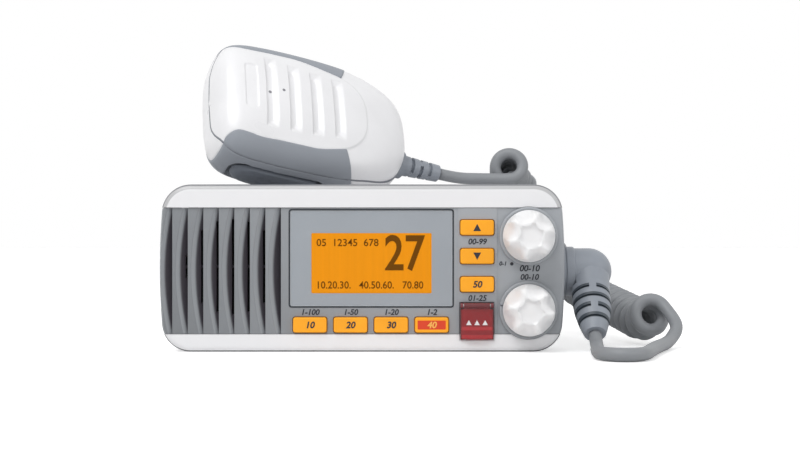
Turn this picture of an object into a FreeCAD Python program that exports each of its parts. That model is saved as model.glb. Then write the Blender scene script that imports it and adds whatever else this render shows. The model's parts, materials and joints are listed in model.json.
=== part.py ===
import FreeCAD, Part
import bisect
import math
import os

# Fixed-mount marine radio with a fist microphone on a curly cord, in millimetres.
# While it is built, x is 0 at the middle of the case, y is 0 at the front of the
# bezel and grows to the rear, and z is 0 at the surface it stands on. Each node
# is moved at the end, so that the origin is under the middle of the whole thing.

V = FreeCAD.Vector
RIGHT = V(1, 0, 0)
REAR = V(0, 1, 0)
UP = V(0, 0, 1)
FRONT = V(0, -1, 0)

# Case
CASE_WIDTH = 150.4
CASE_HEIGHT = 62.0
CORNER_RADIUS = 11.0
SIDE_BULGE_RADIUS = 270.0
BEZEL_DEPTH = 34.0
BEZEL_WALL = 2.6
SCREW_BOSS_FRONT = 16.0
SCREW_BOSS_RADIUS = 3.0
SCREW_PILOT_RADIUS = 1.4
SEAL_THICKNESS = 1.0
CHASSIS_WIDTH = 140.0
CHASSIS_HEIGHT = 57.0
CHASSIS_REAR = 104.0
CHASSIS_WALL = 3.0
FIN_REAR = 116.0
FIN_COUNT = 15
FIN_THICKNESS = 1.8
FIN_PITCH = 9.0
COVER_THICKNESS = 1.5

# Front panel: the grey middle band between the two white bands of the bezel
PANEL_LOW = 6.5
PANEL_HIGH = 53.4
PANEL_FRONT = 0.5
PANEL_THICKNESS = 5.0
PANEL_REAR = PANEL_FRONT + PANEL_THICKNESS
PANEL_GAP = 0.15

# Loudspeaker grille: scoops with a sloped floor and a steep right wall
SCOOP_COUNT = 8
SCOOP_PITCH = 5.74
SCOOP_FIRST_WALL = -70.2
SCOOP_WIDTH = 4.8
SCOOP_DEPTH = 3.2
SCOOP_HALF_HEIGHT = 30.0
SLOT_WIDTH = 1.1
SPEAKER_X = -47.3
SPEAKER_Z = 31.5
SPEAKER_RADIUS = 18.5
SLOT_CIRCLE_RADIUS = 17.7
SLOT_BRIDGE = 0.8

# Display window
WINDOW = (-27.0, 33.8, 16.5, 52.7)
SCREEN = (-18.8, 25.7, 21.65, 43.95)
LENS_FRONT = 0.8
LENS_THICKNESS = 2.0
MASK_THICKNESS = 0.5

# Keys
KEY_WIDTH = 12.4
KEY_HEIGHT = 5.6
KEY_PROUD = 1.3
KEY_GAP = 0.3
KEY_PLACES = {
    "key_call": (-19.3, 10.0),
    "key_weather": (-4.3, 10.0),
    "key_clear": (10.7, 10.0),
    "key_priority": (25.7, 10.0),
    "key_channel_up": (42.5, 46.0),
    "key_channel_down": (42.5, 35.4),
    "key_enter": (42.5, 25.0),
}
STRIP = (35.5, 49.9)

# Distress key under its flip cover
FLAP_X = 42.4
FLAP_WIDTH = 12.2
FLAP_LOW = 4.6
FLAP_HINGE_Z = 17.2
FLAP_HINGE_Y = -1.0
FLAP_THICKNESS = 1.2
HINGE_PIN_RADIUS = 0.5
HINGE_CLEARANCE = 0.05

# Controls
KNOB_PLACES = {"volume": (61.5, 42.8), "squelch": (61.5, 15.5)}
KNOB_RADIUS = 9.6
KNOB_BACK = -1.9
KNOB_FRONT = -13.4
KNOB_SCALLOPS = 6
SCALLOP_RADIUS = 5.4
SCALLOP_DEPTH = 3.0
COLLAR_RADIUS = 10.8
COLLAR_FRONT = -1.4
SHAFT_RADIUS = 3.0
SHAFT_CLEARANCE = 0.05
BUSHING_RADIUS = 4.0

# Microphone socket and plug on the right side
SOCKET_Y = 21.0
SOCKET_Z = 29.4
SOCKET_RADIUS = 9.3
SOCKET_REACH = 76.8
PLUG_RING_REACH = 80.4
PLUG_X = 86.0
ELBOW_RADIUS = 8.8
BOOT_TOP_RADIUS = 7.2
BOOT_PROFILE = [(0, 7.2), (6, 7.2), (11, 6.8), (16, 5.8), (19.5, 4.8), (21.6, 4.1)]
BOOT_NECK_LENGTH = 8.0
BOOT_SLOTS = 4
BOOT_SLOT_PITCH = 4.4
BOOT_ANGLE = 44.0

# Microphone: length from blunt end to cord, width, thickness and its pose
MIC_CENTRE = V(-24.6, 62.0, 87.5)
MIC_LENGTH_AXIS = V(0.887, 0.422, -0.186)
MIC_FACE_NORMAL = V(0.454, -0.725, 0.518)
MIC_SECTIONS = [
    (-41.5, 14.0, 7.5), (-40.6, 20.0, 10.5), (-38.4, 25.0, 13.2), (-33.0, 28.0, 15.4),
    (-20.0, 29.0, 16.4), (-4.0, 29.1, 16.6), (12.0, 28.5, 16.3), (24.0, 26.4, 15.3),
    (33.0, 22.6, 13.8), (38.6, 18.0, 11.8), (42.0, 11.5, 8.8),
]
MIC_POWER = 3.0
MIC_SEAM = -3.0
MIC_GROOVES = (-17.5, -8.5, 0.5, 9.5)
PTT_ALONG = (-30.0, 4.0)
PTT_ACROSS = (-11.5, 0.5)
PTT_FACE = -29.4
PTT_GAP = 0.4
RELIEF_PLACE = V(40.0, -6.0, -3.0)
RELIEF_LENGTH = 22.0
RELIEF_RADIUS = 4.6

# Cord
CORD_RADIUS = 2.45
CORD_END_GAP = 0.3
COIL_RADIUS = 5.75
COIL_TURNS = 30.36
# The middle line of the curly part, from the microphone's end to the plug's end
COIL_ROUTE = [
    V(60.5, 92, 73.0), V(60.8, 106, 70.6), V(63.5, 120, 68.2), V(70, 131, 62), V(77, 135, 50),
    V(80.5, 133, 37), V(84.5, 123, 27), V(91, 104, 20.5), V(99, 81, 15.8), V(106.5, 58, 11.8),
    V(109.7, 46, 9.4), V(111.4, 38, 10.4), V(111.8, 32, 13.2),
]

# The straight part from the boot's end, along the surface in front, to the coil
FLOOR_ROUTE = [
    V(85.4, -13.5, 2.6), V(83.4, -28, 2.5), V(82.6, -41.5, 2.5), V(85.8, -48.2, 2.5),
    V(91.6, -50.2, 2.5), V(96.8, -46.6, 2.5), V(99.8, -38, 2.5), V(103.8, -22, 2.5),
    V(108.8, -5, 2.5), V(113.6, 9, 2.5), V(117.2, 19, 3.4),
]

SHIFT = V(-(SOCKET_REACH - CASE_WIDTH / 2) / 2, -(FIN_REAR + 8.0 + KNOB_FRONT) / 2, 0)

volumes = {}


def box(x0, x1, y0, y1, z0, z1):
    return Part.makeBox(x1 - x0, y1 - y0, z1 - z0, V(x0, y0, z0))


def rod(start, direction, radius, length):
    return Part.makeCylinder(radius, length, start, direction)


def pipe(start, direction, outer, inner, length):
    return rod(start, direction, outer, length).cut(rod(start, direction, inner, length))


def cone(start, direction, radius_0, radius_1, length):
    return Part.makeCone(radius_0, radius_1, length, start, direction)


def rounded_block(x0, x1, z0, z1, radius, y0, y1):
    """A block along Y whose four long edges are round."""
    block = box(x0, x1, y0, y1, z0, z1)
    long_edges = [e for e in block.Edges if abs(e.tangentAt(e.FirstParameter).y) > 0.9]
    return block.makeFillet(radius, long_edges)


def save(node, shape):
    """Write one node, moved to the model's origin."""
    solids = shape.Solids
    if not solids or not all(solid.isValid() for solid in solids):
        print("BAD", node)
    moved = Part.makeCompound(solids) if len(solids) > 1 else solids[0].copy()
    moved.translate(SHIFT)
    volumes[node] = sum(solid.Volume for solid in solids)
    moved.exportStep("parts/" + node + ".step")


def case_outline(grow, y):
    """The front outline: round corners between straight bands and bowed sides."""
    corner = CORNER_RADIUS + grow
    side = SIDE_BULGE_RADIUS + grow
    half_width = CASE_WIDTH / 2 + grow
    middle = CASE_HEIGHT / 2
    rise = middle - CORNER_RADIUS
    angle = math.asin(rise / (side - corner))
    centre_x = half_width - side + (side - corner) * math.cos(angle)

    def corner_arc(sx, sz):
        def at(turn):
            return V(sx * (centre_x + corner * math.cos(turn)), y,
                     middle + sz * (rise + corner * math.sin(turn)))
        return at(angle), at((angle + math.pi / 2) / 2), at(math.pi / 2)

    def side_middle(sx):
        return V(sx * half_width, y, middle)

    right_top, right_low = corner_arc(1, 1), corner_arc(1, -1)
    left_top, left_low = corner_arc(-1, 1), corner_arc(-1, -1)
    edges = [
        Part.Arc(right_low[0], side_middle(1), right_top[0]).toShape(),
        Part.Arc(*right_top).toShape(),
        Part.makeLine(right_top[2], left_top[2]),
        Part.Arc(left_top[2], left_top[1], left_top[0]).toShape(),
        Part.Arc(left_top[0], side_middle(-1), left_low[0]).toShape(),
        Part.Arc(*left_low).toShape(),
        Part.makeLine(left_low[2], right_low[2]),
        Part.Arc(right_low[2], right_low[1], right_low[0]).toShape(),
    ]
    return Part.Wire(edges)


def case_block(grow, y0, y1):
    return Part.Face(case_outline(grow, y0)).extrude(V(0, y1 - y0, 0))


def edges_at_y(shape, y):
    return [e for e in shape.Edges
            if abs(e.BoundBox.YMin - y) < 1e-4 and abs(e.BoundBox.YMax - y) < 1e-4]


def front_screw_places():
    return [(sx * 64.0, z) for sx in (-1, 1) for z in (11.5, 50.5)]


# Front bezel

def make_bezel():
    block = case_block(0, 0, BEZEL_DEPTH)
    block = block.makeFillet(2.4, edges_at_y(block, 0))
    cavity = case_block(-BEZEL_WALL, PANEL_REAR + 0.5, BEZEL_DEPTH)
    recess = box(-80, 80, -1, PANEL_REAR + 0.5, PANEL_LOW, PANEL_HIGH)
    bezel = block.cut([cavity, recess])
    for x, z in KNOB_PLACES.values():
        bezel = bezel.cut(rod(V(x, -1, z), REAR, COLLAR_RADIUS + PANEL_GAP, PANEL_REAR + 1.5))
    hinge_pocket = box(FLAP_X - FLAP_WIDTH / 2 - 0.4, FLAP_X + FLAP_WIDTH / 2 + 0.4,
                       -1, 0.6, FLAP_LOW - 0.4, PANEL_LOW + 1)
    socket_hole = rod(V(60, SOCKET_Y, SOCKET_Z), RIGHT, 7.0, 30)
    bosses = []
    for x, z in front_screw_places():
        boss = rod(V(x, SCREW_BOSS_FRONT, z), REAR, SCREW_BOSS_RADIUS, BEZEL_DEPTH - SCREW_BOSS_FRONT)
        wall_z = 0.5 if z < CASE_HEIGHT / 2 else CASE_HEIGHT - 0.5
        web = box(x - 1, x + 1, SCREW_BOSS_FRONT, BEZEL_DEPTH, min(z, wall_z), max(z, wall_z))
        bosses.append(boss.fuse(web))
    bezel = bezel.cut(hinge_pocket).fuse(bosses).cut(socket_hole)
    for x, z in front_screw_places():
        bezel = bezel.cut(rod(V(x, SCREW_BOSS_FRONT + 2, z), REAR, SCREW_PILOT_RADIUS, BEZEL_DEPTH))
    return bezel


# Front panel with the louvred grille

def scoop(wall_x):
    """One louvre: a sloped floor turned about an axis far in front of the panel."""
    turn_radius = (SCOOP_HALF_HEIGHT ** 2 + SCOOP_DEPTH ** 2) / (2 * SCOOP_DEPTH)
    axis_y = PANEL_FRONT + SCOOP_DEPTH - turn_radius
    slope = SCOOP_WIDTH / SCOOP_DEPTH
    above = 2.0
    floor_y = PANEL_FRONT + SCOOP_DEPTH
    top_y = PANEL_FRONT - above
    corners = [V(wall_x, floor_y, SPEAKER_Z - 1.55),
               V(wall_x - slope * (SCOOP_DEPTH + above), top_y, SPEAKER_Z - 1.55),
               V(wall_x, top_y, SPEAKER_Z - 1.55)]
    face = Part.Face(Part.makePolygon(corners + corners[:1]))
    axis = V(0, axis_y, SPEAKER_Z - 1.55)
    half_turn = 11.0
    face.rotate(axis, RIGHT, -half_turn)
    return face.revolve(axis, RIGHT, 2 * half_turn)


def grille_slots(wall_x):
    """The through slot at a scoop's steep wall, in two lengths about a bridge."""
    offset = wall_x - SPEAKER_X
    half = math.sqrt(SLOT_CIRCLE_RADIUS ** 2 - offset ** 2)
    bridge = SLOT_BRIDGE / 2
    return [box(wall_x - SLOT_WIDTH, wall_x, 0, PANEL_REAR + 1, SPEAKER_Z + low, SPEAKER_Z + high)
            for low, high in ((-half, -bridge), (bridge, half))]


def make_panel():
    block = case_block(-PANEL_GAP, 0, PANEL_REAR)
    block = block.makeFillet(2.4, edges_at_y(block, 0))
    panel = block.common(box(-80, 80, PANEL_FRONT, PANEL_REAR,
                             PANEL_LOW + PANEL_GAP, PANEL_HIGH - PANEL_GAP))
    strip = box(STRIP[0], STRIP[1], PANEL_FRONT - 0.3, PANEL_FRONT + 1,
                PANEL_LOW + PANEL_GAP, PANEL_HIGH - PANEL_GAP)
    collars = []
    for x, z in KNOB_PLACES.values():
        ring = rod(V(x, COLLAR_FRONT, z), REAR, COLLAR_RADIUS, PANEL_REAR - COLLAR_FRONT)
        collars.append(ring.makeFillet(0.6, edges_at_y(ring, COLLAR_FRONT)))
    panel = panel.fuse([strip] + collars)
    cutters = []
    for number in range(SCOOP_COUNT):
        wall_x = SCOOP_FIRST_WALL + number * SCOOP_PITCH
        cutters.append(scoop(wall_x))
        if 0 < number < SCOOP_COUNT - 1:
            cutters.extend(grille_slots(wall_x))
    x0, x1, z0, z1 = WINDOW
    cutters.append(box(x0, x1, 0, LENS_FRONT + LENS_THICKNESS + MASK_THICKNESS, z0, z1))
    cutters.append(box(x0 + 4, x1 - 4, 0, PANEL_REAR + 1, z0 + 3, z1 - 3))
    for x, z in KEY_PLACES.values():
        cutters.append(rounded_block(x - KEY_WIDTH / 2 - KEY_GAP, x + KEY_WIDTH / 2 + KEY_GAP,
                                     z - KEY_HEIGHT / 2 - KEY_GAP, z + KEY_HEIGHT / 2 + KEY_GAP,
                                     1.0, -1, PANEL_REAR + 1))
    half_flap = FLAP_WIDTH / 2 + 0.4
    cutters.append(box(FLAP_X - half_flap, FLAP_X + half_flap, -2, 1.2, 0, FLAP_HINGE_Z + 1.3))
    cutters.append(box(FLAP_X - 4.6, FLAP_X + 4.6, -2, PANEL_REAR + 1, 7.6, 14.4))
    for x, z in KNOB_PLACES.values():
        cutters.append(rod(V(x, -3, z), REAR, BUSHING_RADIUS, 12))
    panel = panel.cut(cutters)
    lugs = []
    for side in (-1, 1):
        lug_x = FLAP_X + side * (FLAP_WIDTH / 2 - 0.5)
        lug = rod(V(lug_x - 0.5, FLAP_HINGE_Y, FLAP_HINGE_Z), RIGHT, 1.0, 1.0)
        stem = box(lug_x - 0.5, lug_x + 0.5, FLAP_HINGE_Y, 2.0,
                   FLAP_HINGE_Z - 0.9, FLAP_HINGE_Z + 0.9)
        lugs.append(lug.fuse(stem))
    panel = panel.fuse(lugs)
    pin_hole = rod(V(FLAP_X - 10, FLAP_HINGE_Y, FLAP_HINGE_Z), RIGHT, HINGE_PIN_RADIUS, 20)
    return panel.cut(pin_hole)


# Display

def make_display():
    x0, x1, z0, z1 = WINDOW
    slack = 0.15
    lens_rear = LENS_FRONT + LENS_THICKNESS
    mask_rear = lens_rear + MASK_THICKNESS
    lens = box(x0 + slack, x1 - slack, LENS_FRONT, lens_rear, z0 + slack, z1 - slack)
    lens = lens.makeChamfer(0.4, edges_at_y(lens, LENS_FRONT))
    save("display_lens", lens)
    mask = box(x0 + slack, x1 - slack, lens_rear, mask_rear, z0 + slack, z1 - slack)
    sx0, sx1, sz0, sz1 = SCREEN
    save("display_mask", mask.cut(rounded_block(sx0, sx1, sz0, sz1, 1.0, 0, 5)))
    glass = box(sx0 - 2.5, sx1 + 2.5, mask_rear, mask_rear + 1.8, sz0 - 1.8, sz1 + 2)
    save("display_glass", glass)
    light_front = mask_rear + 2.0
    light = box(sx0 - 3, sx1 + 3, light_front, light_front + 3, sz0 - 1.8, sz1 + 2)
    save("display_backlight", light)
    holder = box(x0 + 1, x1 - 1, PANEL_REAR + 0.1, 10.9, z0 + 1, z1 - 1)
    opening = box(sx0 - 3.2, sx1 + 3.2, 0, 12, sz0 - 2.2, sz1 + 2.3)
    save("display_holder", holder.cut(opening))


# Keys and the keypad behind them

def key_cap(x, z, width, height, front):
    flange_front = PANEL_REAR + 0.2
    flange_rear = flange_front + 1.2
    cap = rounded_block(x - width / 2, x + width / 2, z - height / 2, z + height / 2,
                        0.9, front, flange_rear)
    cap = cap.makeFillet(0.45, edges_at_y(cap, front))
    flange = box(x - width / 2 - 0.8, x + width / 2 + 0.8, flange_front, flange_rear,
                 z - height / 2 - 0.5, z + height / 2 + 0.5)
    return cap.fuse(flange)


def make_keys():
    for node, (x, z) in KEY_PLACES.items():
        save(node, key_cap(x, z, KEY_WIDTH, KEY_HEIGHT, PANEL_FRONT - KEY_PROUD))
    save("distress_key", key_cap(FLAP_X, 11.0, 8.4, 5.6, 0.7))
    mat_front = 7.8
    low_row = box(-28, 50, mat_front, mat_front + 2, 6.8, 15.2)
    column = box(35.6, 50, mat_front, mat_front + 2, 15.2, 50)
    save("keypad_mat", low_row.fuse(column).removeSplitter())


# Flip cover of the distress key

def make_flap():
    half = FLAP_WIDTH / 2
    plate_rear = 0.1
    plate = box(FLAP_X - half, FLAP_X + half, plate_rear - FLAP_THICKNESS, plate_rear,
                FLAP_LOW, FLAP_HINGE_Z)
    front = edges_at_y(plate, plate_rear - FLAP_THICKNESS)
    plate = plate.makeFillet(0.5, [e for e in front if e.BoundBox.ZMax < FLAP_HINGE_Z - 0.1])
    barrel = rod(V(FLAP_X - half + 1.3, FLAP_HINGE_Y, FLAP_HINGE_Z), RIGHT, 1.0, FLAP_WIDTH - 2.6)
    lug_room = [box(FLAP_X + side * (half - 0.55) - 0.65, FLAP_X + side * (half - 0.55) + 0.65,
                    -4, 3, FLAP_HINGE_Z - 1.3, FLAP_HINGE_Z + 2) for side in (-1, 1)]
    lip = box(FLAP_X - 4, FLAP_X + 4, plate_rear - FLAP_THICKNESS - 0.5, plate_rear - 0.6,
              FLAP_LOW, FLAP_LOW + 0.9)
    pin_room = rod(V(FLAP_X - 10, FLAP_HINGE_Y, FLAP_HINGE_Z), RIGHT,
                   HINGE_PIN_RADIUS + HINGE_CLEARANCE, 20)
    flap = plate.cut(lug_room).fuse([barrel, lip]).cut(pin_room)
    save("distress_cover", flap)
    save("cover_hinge_pin", rod(V(FLAP_X - half, FLAP_HINGE_Y, FLAP_HINGE_Z), RIGHT,
                                HINGE_PIN_RADIUS, FLAP_WIDTH))


# Knobs, shafts and the controls behind the panel

def make_knob(x, z):
    """A scalloped cap with a dished middle."""
    length = KNOB_BACK - KNOB_FRONT
    profile = [
        (0, 0), (KNOB_RADIUS, 0), (KNOB_RADIUS - 0.5, length - 1.8),
        (KNOB_RADIUS - 2.2, length - 0.1), (4.6, length), (4.2, length - 0.5), (0, length - 0.9),
    ]
    points = [V(x + radius, KNOB_BACK - along, z) for radius, along in profile]
    knob = Part.Face(Part.makePolygon(points + points[:1])).revolve(V(x, 0, z), REAR, 360)
    scallops = []
    for number in range(KNOB_SCALLOPS):
        turn = math.radians(360 / KNOB_SCALLOPS * (number + 0.5))
        out = V(math.cos(turn), 0, math.sin(turn))
        start = V(x, KNOB_FRONT, z) + out * (KNOB_RADIUS + SCALLOP_RADIUS - SCALLOP_DEPTH)
        tilt = REAR + out * (SCALLOP_DEPTH / length)
        scallops.append(rod(start - tilt * 2, tilt, SCALLOP_RADIUS, length + 6))
    knob = knob.cut(scallops)
    skirt = rod(V(x, KNOB_BACK - 1.2, z), REAR, KNOB_RADIUS, 1.2)
    return knob.fuse(skirt).cut(rod(V(x, KNOB_BACK + 1, z), FRONT, SHAFT_RADIUS, 9.0))


def make_controls():
    for name, (x, z) in KNOB_PLACES.items():
        save(name + "_knob", make_knob(x, z))
        save(name + "_shaft", rod(V(x, KNOB_BACK - 8.0, z), REAR, SHAFT_RADIUS, 17.0))
        body = box(x - 6, x + 6, PANEL_REAR + 0.1, 10.8, z - 6, z + 6)
        bushing = rod(V(x, -0.8, z), REAR, BUSHING_RADIUS, 8)
        bore = rod(V(x, -2, z), REAR, SHAFT_RADIUS + SHAFT_CLEARANCE, 9.4)
        save(name + "_control", body.fuse(bushing).cut(bore))


# Loudspeaker

def make_speaker():
    at = V(SPEAKER_X, PANEL_REAR + 0.1, SPEAKER_Z)

    def ring(profile):
        points = [at + V(radius, along, 0) for radius, along in profile]
        return Part.Face(Part.makePolygon(points + points[:1])).revolve(at, REAR, 360)

    rim = SPEAKER_RADIUS
    basket = [(rim - 1.6, 0), (rim, 0), (rim, 1.4), (17.0, 1.8), (11.0, 8.0), (9.0, 8.0),
              (9.0, 7.0), (10.4, 7.0), (rim - 1.6, 1.2)]
    save("speaker_basket", ring(basket))
    moving_cone = [(rim - 2.0, 0.2), (rim - 2.0, 0.8), (8.6, 6.4), (8.6, 9.5), (7.8, 9.5),
                   (7.8, 5.2), (0, 3.6), (0, 3.0), (8.2, 4.6)]
    save("speaker_cone", ring(moving_cone))
    magnet_front = V(SPEAKER_X, PANEL_REAR + 8.1, SPEAKER_Z)
    magnet = rod(magnet_front, REAR, 12.0, 6.5)
    save("speaker_magnet", magnet.cut(pipe(magnet_front, REAR, 9.0, 7.2, 4.0)))


# Electronics

def make_electronics():
    board = box(-27.5, 70.0, 11.0, 12.6, 7.0, 55.0)
    save("front_circuit_board", board)
    main = box(-58, 58, 50, 98, 8.6, 10.2)
    posts = [(sx * 54, y) for sx in (-1, 1) for y in (54, 94)]
    holes = [rod(V(x, y, 0), UP, 1.6, 20) for x, y in posts]
    save("main_circuit_board", main.cut(holes))
    shield = box(-48, -4, 54, 90, 10.2, 19.2)
    save("rf_shield", shield.cut(box(-47.3, -4.7, 54.7, 89.3, 10.2, 18.5)))
    module = box(12, 48, 86, CHASSIS_REAR - CHASSIS_WALL, 14, 30)
    save("power_module", module)
    screws = []
    for x, y in posts:
        screws.append(rod(V(x, y, 5.2), UP, 1.5, 5.0).fuse(rod(V(x, y, 6.6), UP, 3.0, 2.0)))
    return posts, screws


# Chassis, heat sink and the pieces on it

def insert_places():
    return [(side, 62.0, 34.0) for side in (-1, 1)]


def antenna_place():
    return V(45.0, CHASSIS_REAR, 42.0)


def gland_places():
    return [V(-46.0, CHASSIS_REAR, 20.0), V(-22.0, CHASSIS_REAR, 20.0)]


def make_chassis(board_posts, board_screws):
    front = BEZEL_DEPTH + SEAL_THICKNESS
    half = CHASSIS_WIDTH / 2
    shell = rounded_block(-half, half, 0, CHASSIS_HEIGHT, 7.0, front, CHASSIS_REAR)
    inner = rounded_block(-half + CHASSIS_WALL, half - CHASSIS_WALL, CHASSIS_WALL,
                          CHASSIS_HEIGHT - CHASSIS_WALL, 4.0, front - 1,
                          CHASSIS_REAR - CHASSIS_WALL)
    opening = box(-56, 56, front + 8, CHASSIS_REAR - 8, -1, CHASSIS_WALL + 1)
    rebate = box(-61, 61, front + 3, CHASSIS_REAR - 3, -1, COVER_THICKNESS)
    shell = shell.cut([inner, opening, rebate])
    fins = []
    for number in range(FIN_COUNT):
        x = (number - (FIN_COUNT - 1) / 2) * FIN_PITCH
        if abs(x - antenna_place().x) < 13 or any(abs(x - g.x) < 10 for g in gland_places()):
            low, high = (0.8, 12) if x < 0 else (0.8, 27)
            tall = (30, CHASSIS_HEIGHT - 2) if x < 0 else None
        else:
            low, high = 0.8, CHASSIS_HEIGHT - 2
            tall = None
        fins.append(box(x - FIN_THICKNESS / 2, x + FIN_THICKNESS / 2,
                        CHASSIS_REAR - 0.5, FIN_REAR, low, high))
        if tall:
            fins.append(box(x - FIN_THICKNESS / 2, x + FIN_THICKNESS / 2,
                            CHASSIS_REAR - 0.5, FIN_REAR, tall[0], tall[1]))
    ribs = []
    for number in range(9):
        x = (number - 4) * 14.0
        ribs.append(box(x - 1, x + 1, front + 10, CHASSIS_REAR - 6,
                        CHASSIS_HEIGHT - CHASSIS_WALL - 1.2, CHASSIS_HEIGHT - CHASSIS_WALL + 0.5))
    posts = []
    for x, y in board_posts:
        posts.append(rod(V(x, y, 10.2), UP, 3.2, CHASSIS_HEIGHT - CHASSIS_WALL - 9.0))
    for side, y, z in insert_places():
        start = V(side * (half - 9), y, z)
        posts.append(rod(start, V(side, 0, 0), 5.0, 8.0))
    for x, z in front_screw_places():
        posts.append(rod(V(x, front, z), REAR, 4.2, 12))
    whole = shell.fuse(fins + ribs + posts)
    cutters = []
    for x, y in board_posts:
        cutters.append(rod(V(x, y, 9), UP, 1.5, 1.2))
    for side, y, z in insert_places():
        cutters.append(rod(V(side * (half - 9.0), y, z), V(side, 0, 0), 3.4, 12))
    for x, z in front_screw_places():
        cutters.append(rod(V(x, front - 1, z), REAR, 1.6, 14.5))
    socket = antenna_place()
    cutters.append(rod(socket + V(0, -5, 0), REAR, 6.2, 10))
    for place in gland_places():
        cutters.append(rod(place + V(0, -5, 0), REAR, 5.0, 10))
    cover = box(-60.8, 60.8, front + 3.2, CHASSIS_REAR - 3.2, 0.2, COVER_THICKNESS - 0.2)
    cover_screws = [(sx * 58, y) for sx in (-1, 1) for y in (front + 5.6, CHASSIS_REAR - 5.6)]
    heads = []
    for x, y in cover_screws:
        heads.append(cone(V(x, y, 0.2), UP, 2.2, 1.2, 1.0).fuse(rod(V(x, y, 1.1), UP, 1.2, 1.7)))
    cover = cover.cut(heads)
    save("chassis", whole.cut(cutters + heads))
    stamping = box(-40, 40, 45, 85, 0.2, 0.7)
    cover = cover.cut(stamping)
    save("bottom_cover", cover)
    save("chassis_screws", Part.makeCompound(heads + board_screws))
    seal = box(-60.8, 60.8, front + 3.2, CHASSIS_REAR - 3.2, COVER_THICKNESS - 0.2, COVER_THICKNESS)
    seal = seal.cut(box(-56, 56, front + 8, CHASSIS_REAR - 8, 0, 3)).cut(heads)
    inserts = []
    for side, y, z in insert_places():
        inserts.append(pipe(V(side * (half - 9.0), y, z), V(side, 0, 0), 3.4, 2.1, 9.0))
    save("bracket_inserts", Part.makeCompound(inserts))
    ring = case_block(-3.2, BEZEL_DEPTH, BEZEL_DEPTH + SEAL_THICKNESS)
    ring = ring.common(box(-67.5, 67.5, 0, 40, 2.2, 55.5))
    ring = ring.cut(box(-60, 60, 0, 40, 7, 53))
    for x, z in front_screw_places():
        ring = ring.cut(rod(V(x, 20, z), REAR, 1.6, 20))
    save("case_seals", Part.makeCompound([ring, seal]))
    screws = []
    for x, z in front_screw_places():
        shank = rod(V(x, 18, z), REAR, 1.4, front - 18 + 12)
        head = rod(V(x, front + 12, z), REAR, 2.8, 2.0)
        screws.append(shank.fuse(head))
    save("front_screws", Part.makeCompound(screws))


def make_antenna_socket():
    at = antenna_place()
    flange = box(at.x - 12.7, at.x + 12.7, CHASSIS_REAR, CHASSIS_REAR + 1.6,
                 at.z - 12.7, at.z + 12.7)
    barrel = rod(at, REAR, 7.95, FIN_REAR + 8.0 - CHASSIS_REAR)
    tail = rod(at + V(0, -4, 0), REAR, 6.0, 5)
    shell = flange.fuse([barrel, tail])
    shell = shell.cut([rod(at + V(0, -6, 0), REAR, 4.0, 12), rod(at + V(0, 6, 0), REAR, 6.2, 30)])
    screw_places = [V(at.x + sx * 9.1, CHASSIS_REAR, at.z + sz * 9.1)
                    for sx in (-1, 1) for sz in (-1, 1)]
    for place in screw_places:
        shell = shell.cut(rod(place, REAR, 1.6, 3))
    save("antenna_socket_shell", shell)
    insulator = rod(at + V(0, -4, 0), REAR, 4.0, 10).fuse(rod(at + V(0, 6, 0), REAR, 6.2, 1.5))
    insulator = insulator.fuse(rod(at + V(0, 6, 0), REAR, 4.0, 9))
    save("antenna_socket_insulator", insulator.cut(rod(at + V(0, -6, 0), REAR, 2.6, 30)))
    contact = rod(at + V(0, -7, 0), REAR, 2.6, 21.5)
    save("antenna_socket_contact", contact.cut(rod(at + V(0, 4, 0), REAR, 1.95, 12)))
    heads = [rod(place + V(0, 1.6, 0), REAR, 2.6, 1.5).fuse(rod(place, REAR, 1.6, 1.7))
             for place in screw_places]
    save("antenna_socket_screws", Part.makeCompound(heads))
    glands = []
    for place in gland_places():
        collar = rod(place + V(0, -3, 0), REAR, 5.0, 4).fuse(rod(place, REAR, 7.0, 2.0))
        nose = cone(place + V(0, 2, 0), REAR, 5.6, 4.4, 5.0)
        bore = rod(place + V(0, -1, 0), REAR, 2.8, 20)
        glands.append(collar.fuse(nose).cut(bore))
    save("cable_glands", Part.makeCompound(glands))


# Microphone socket, plug and boot

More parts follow.
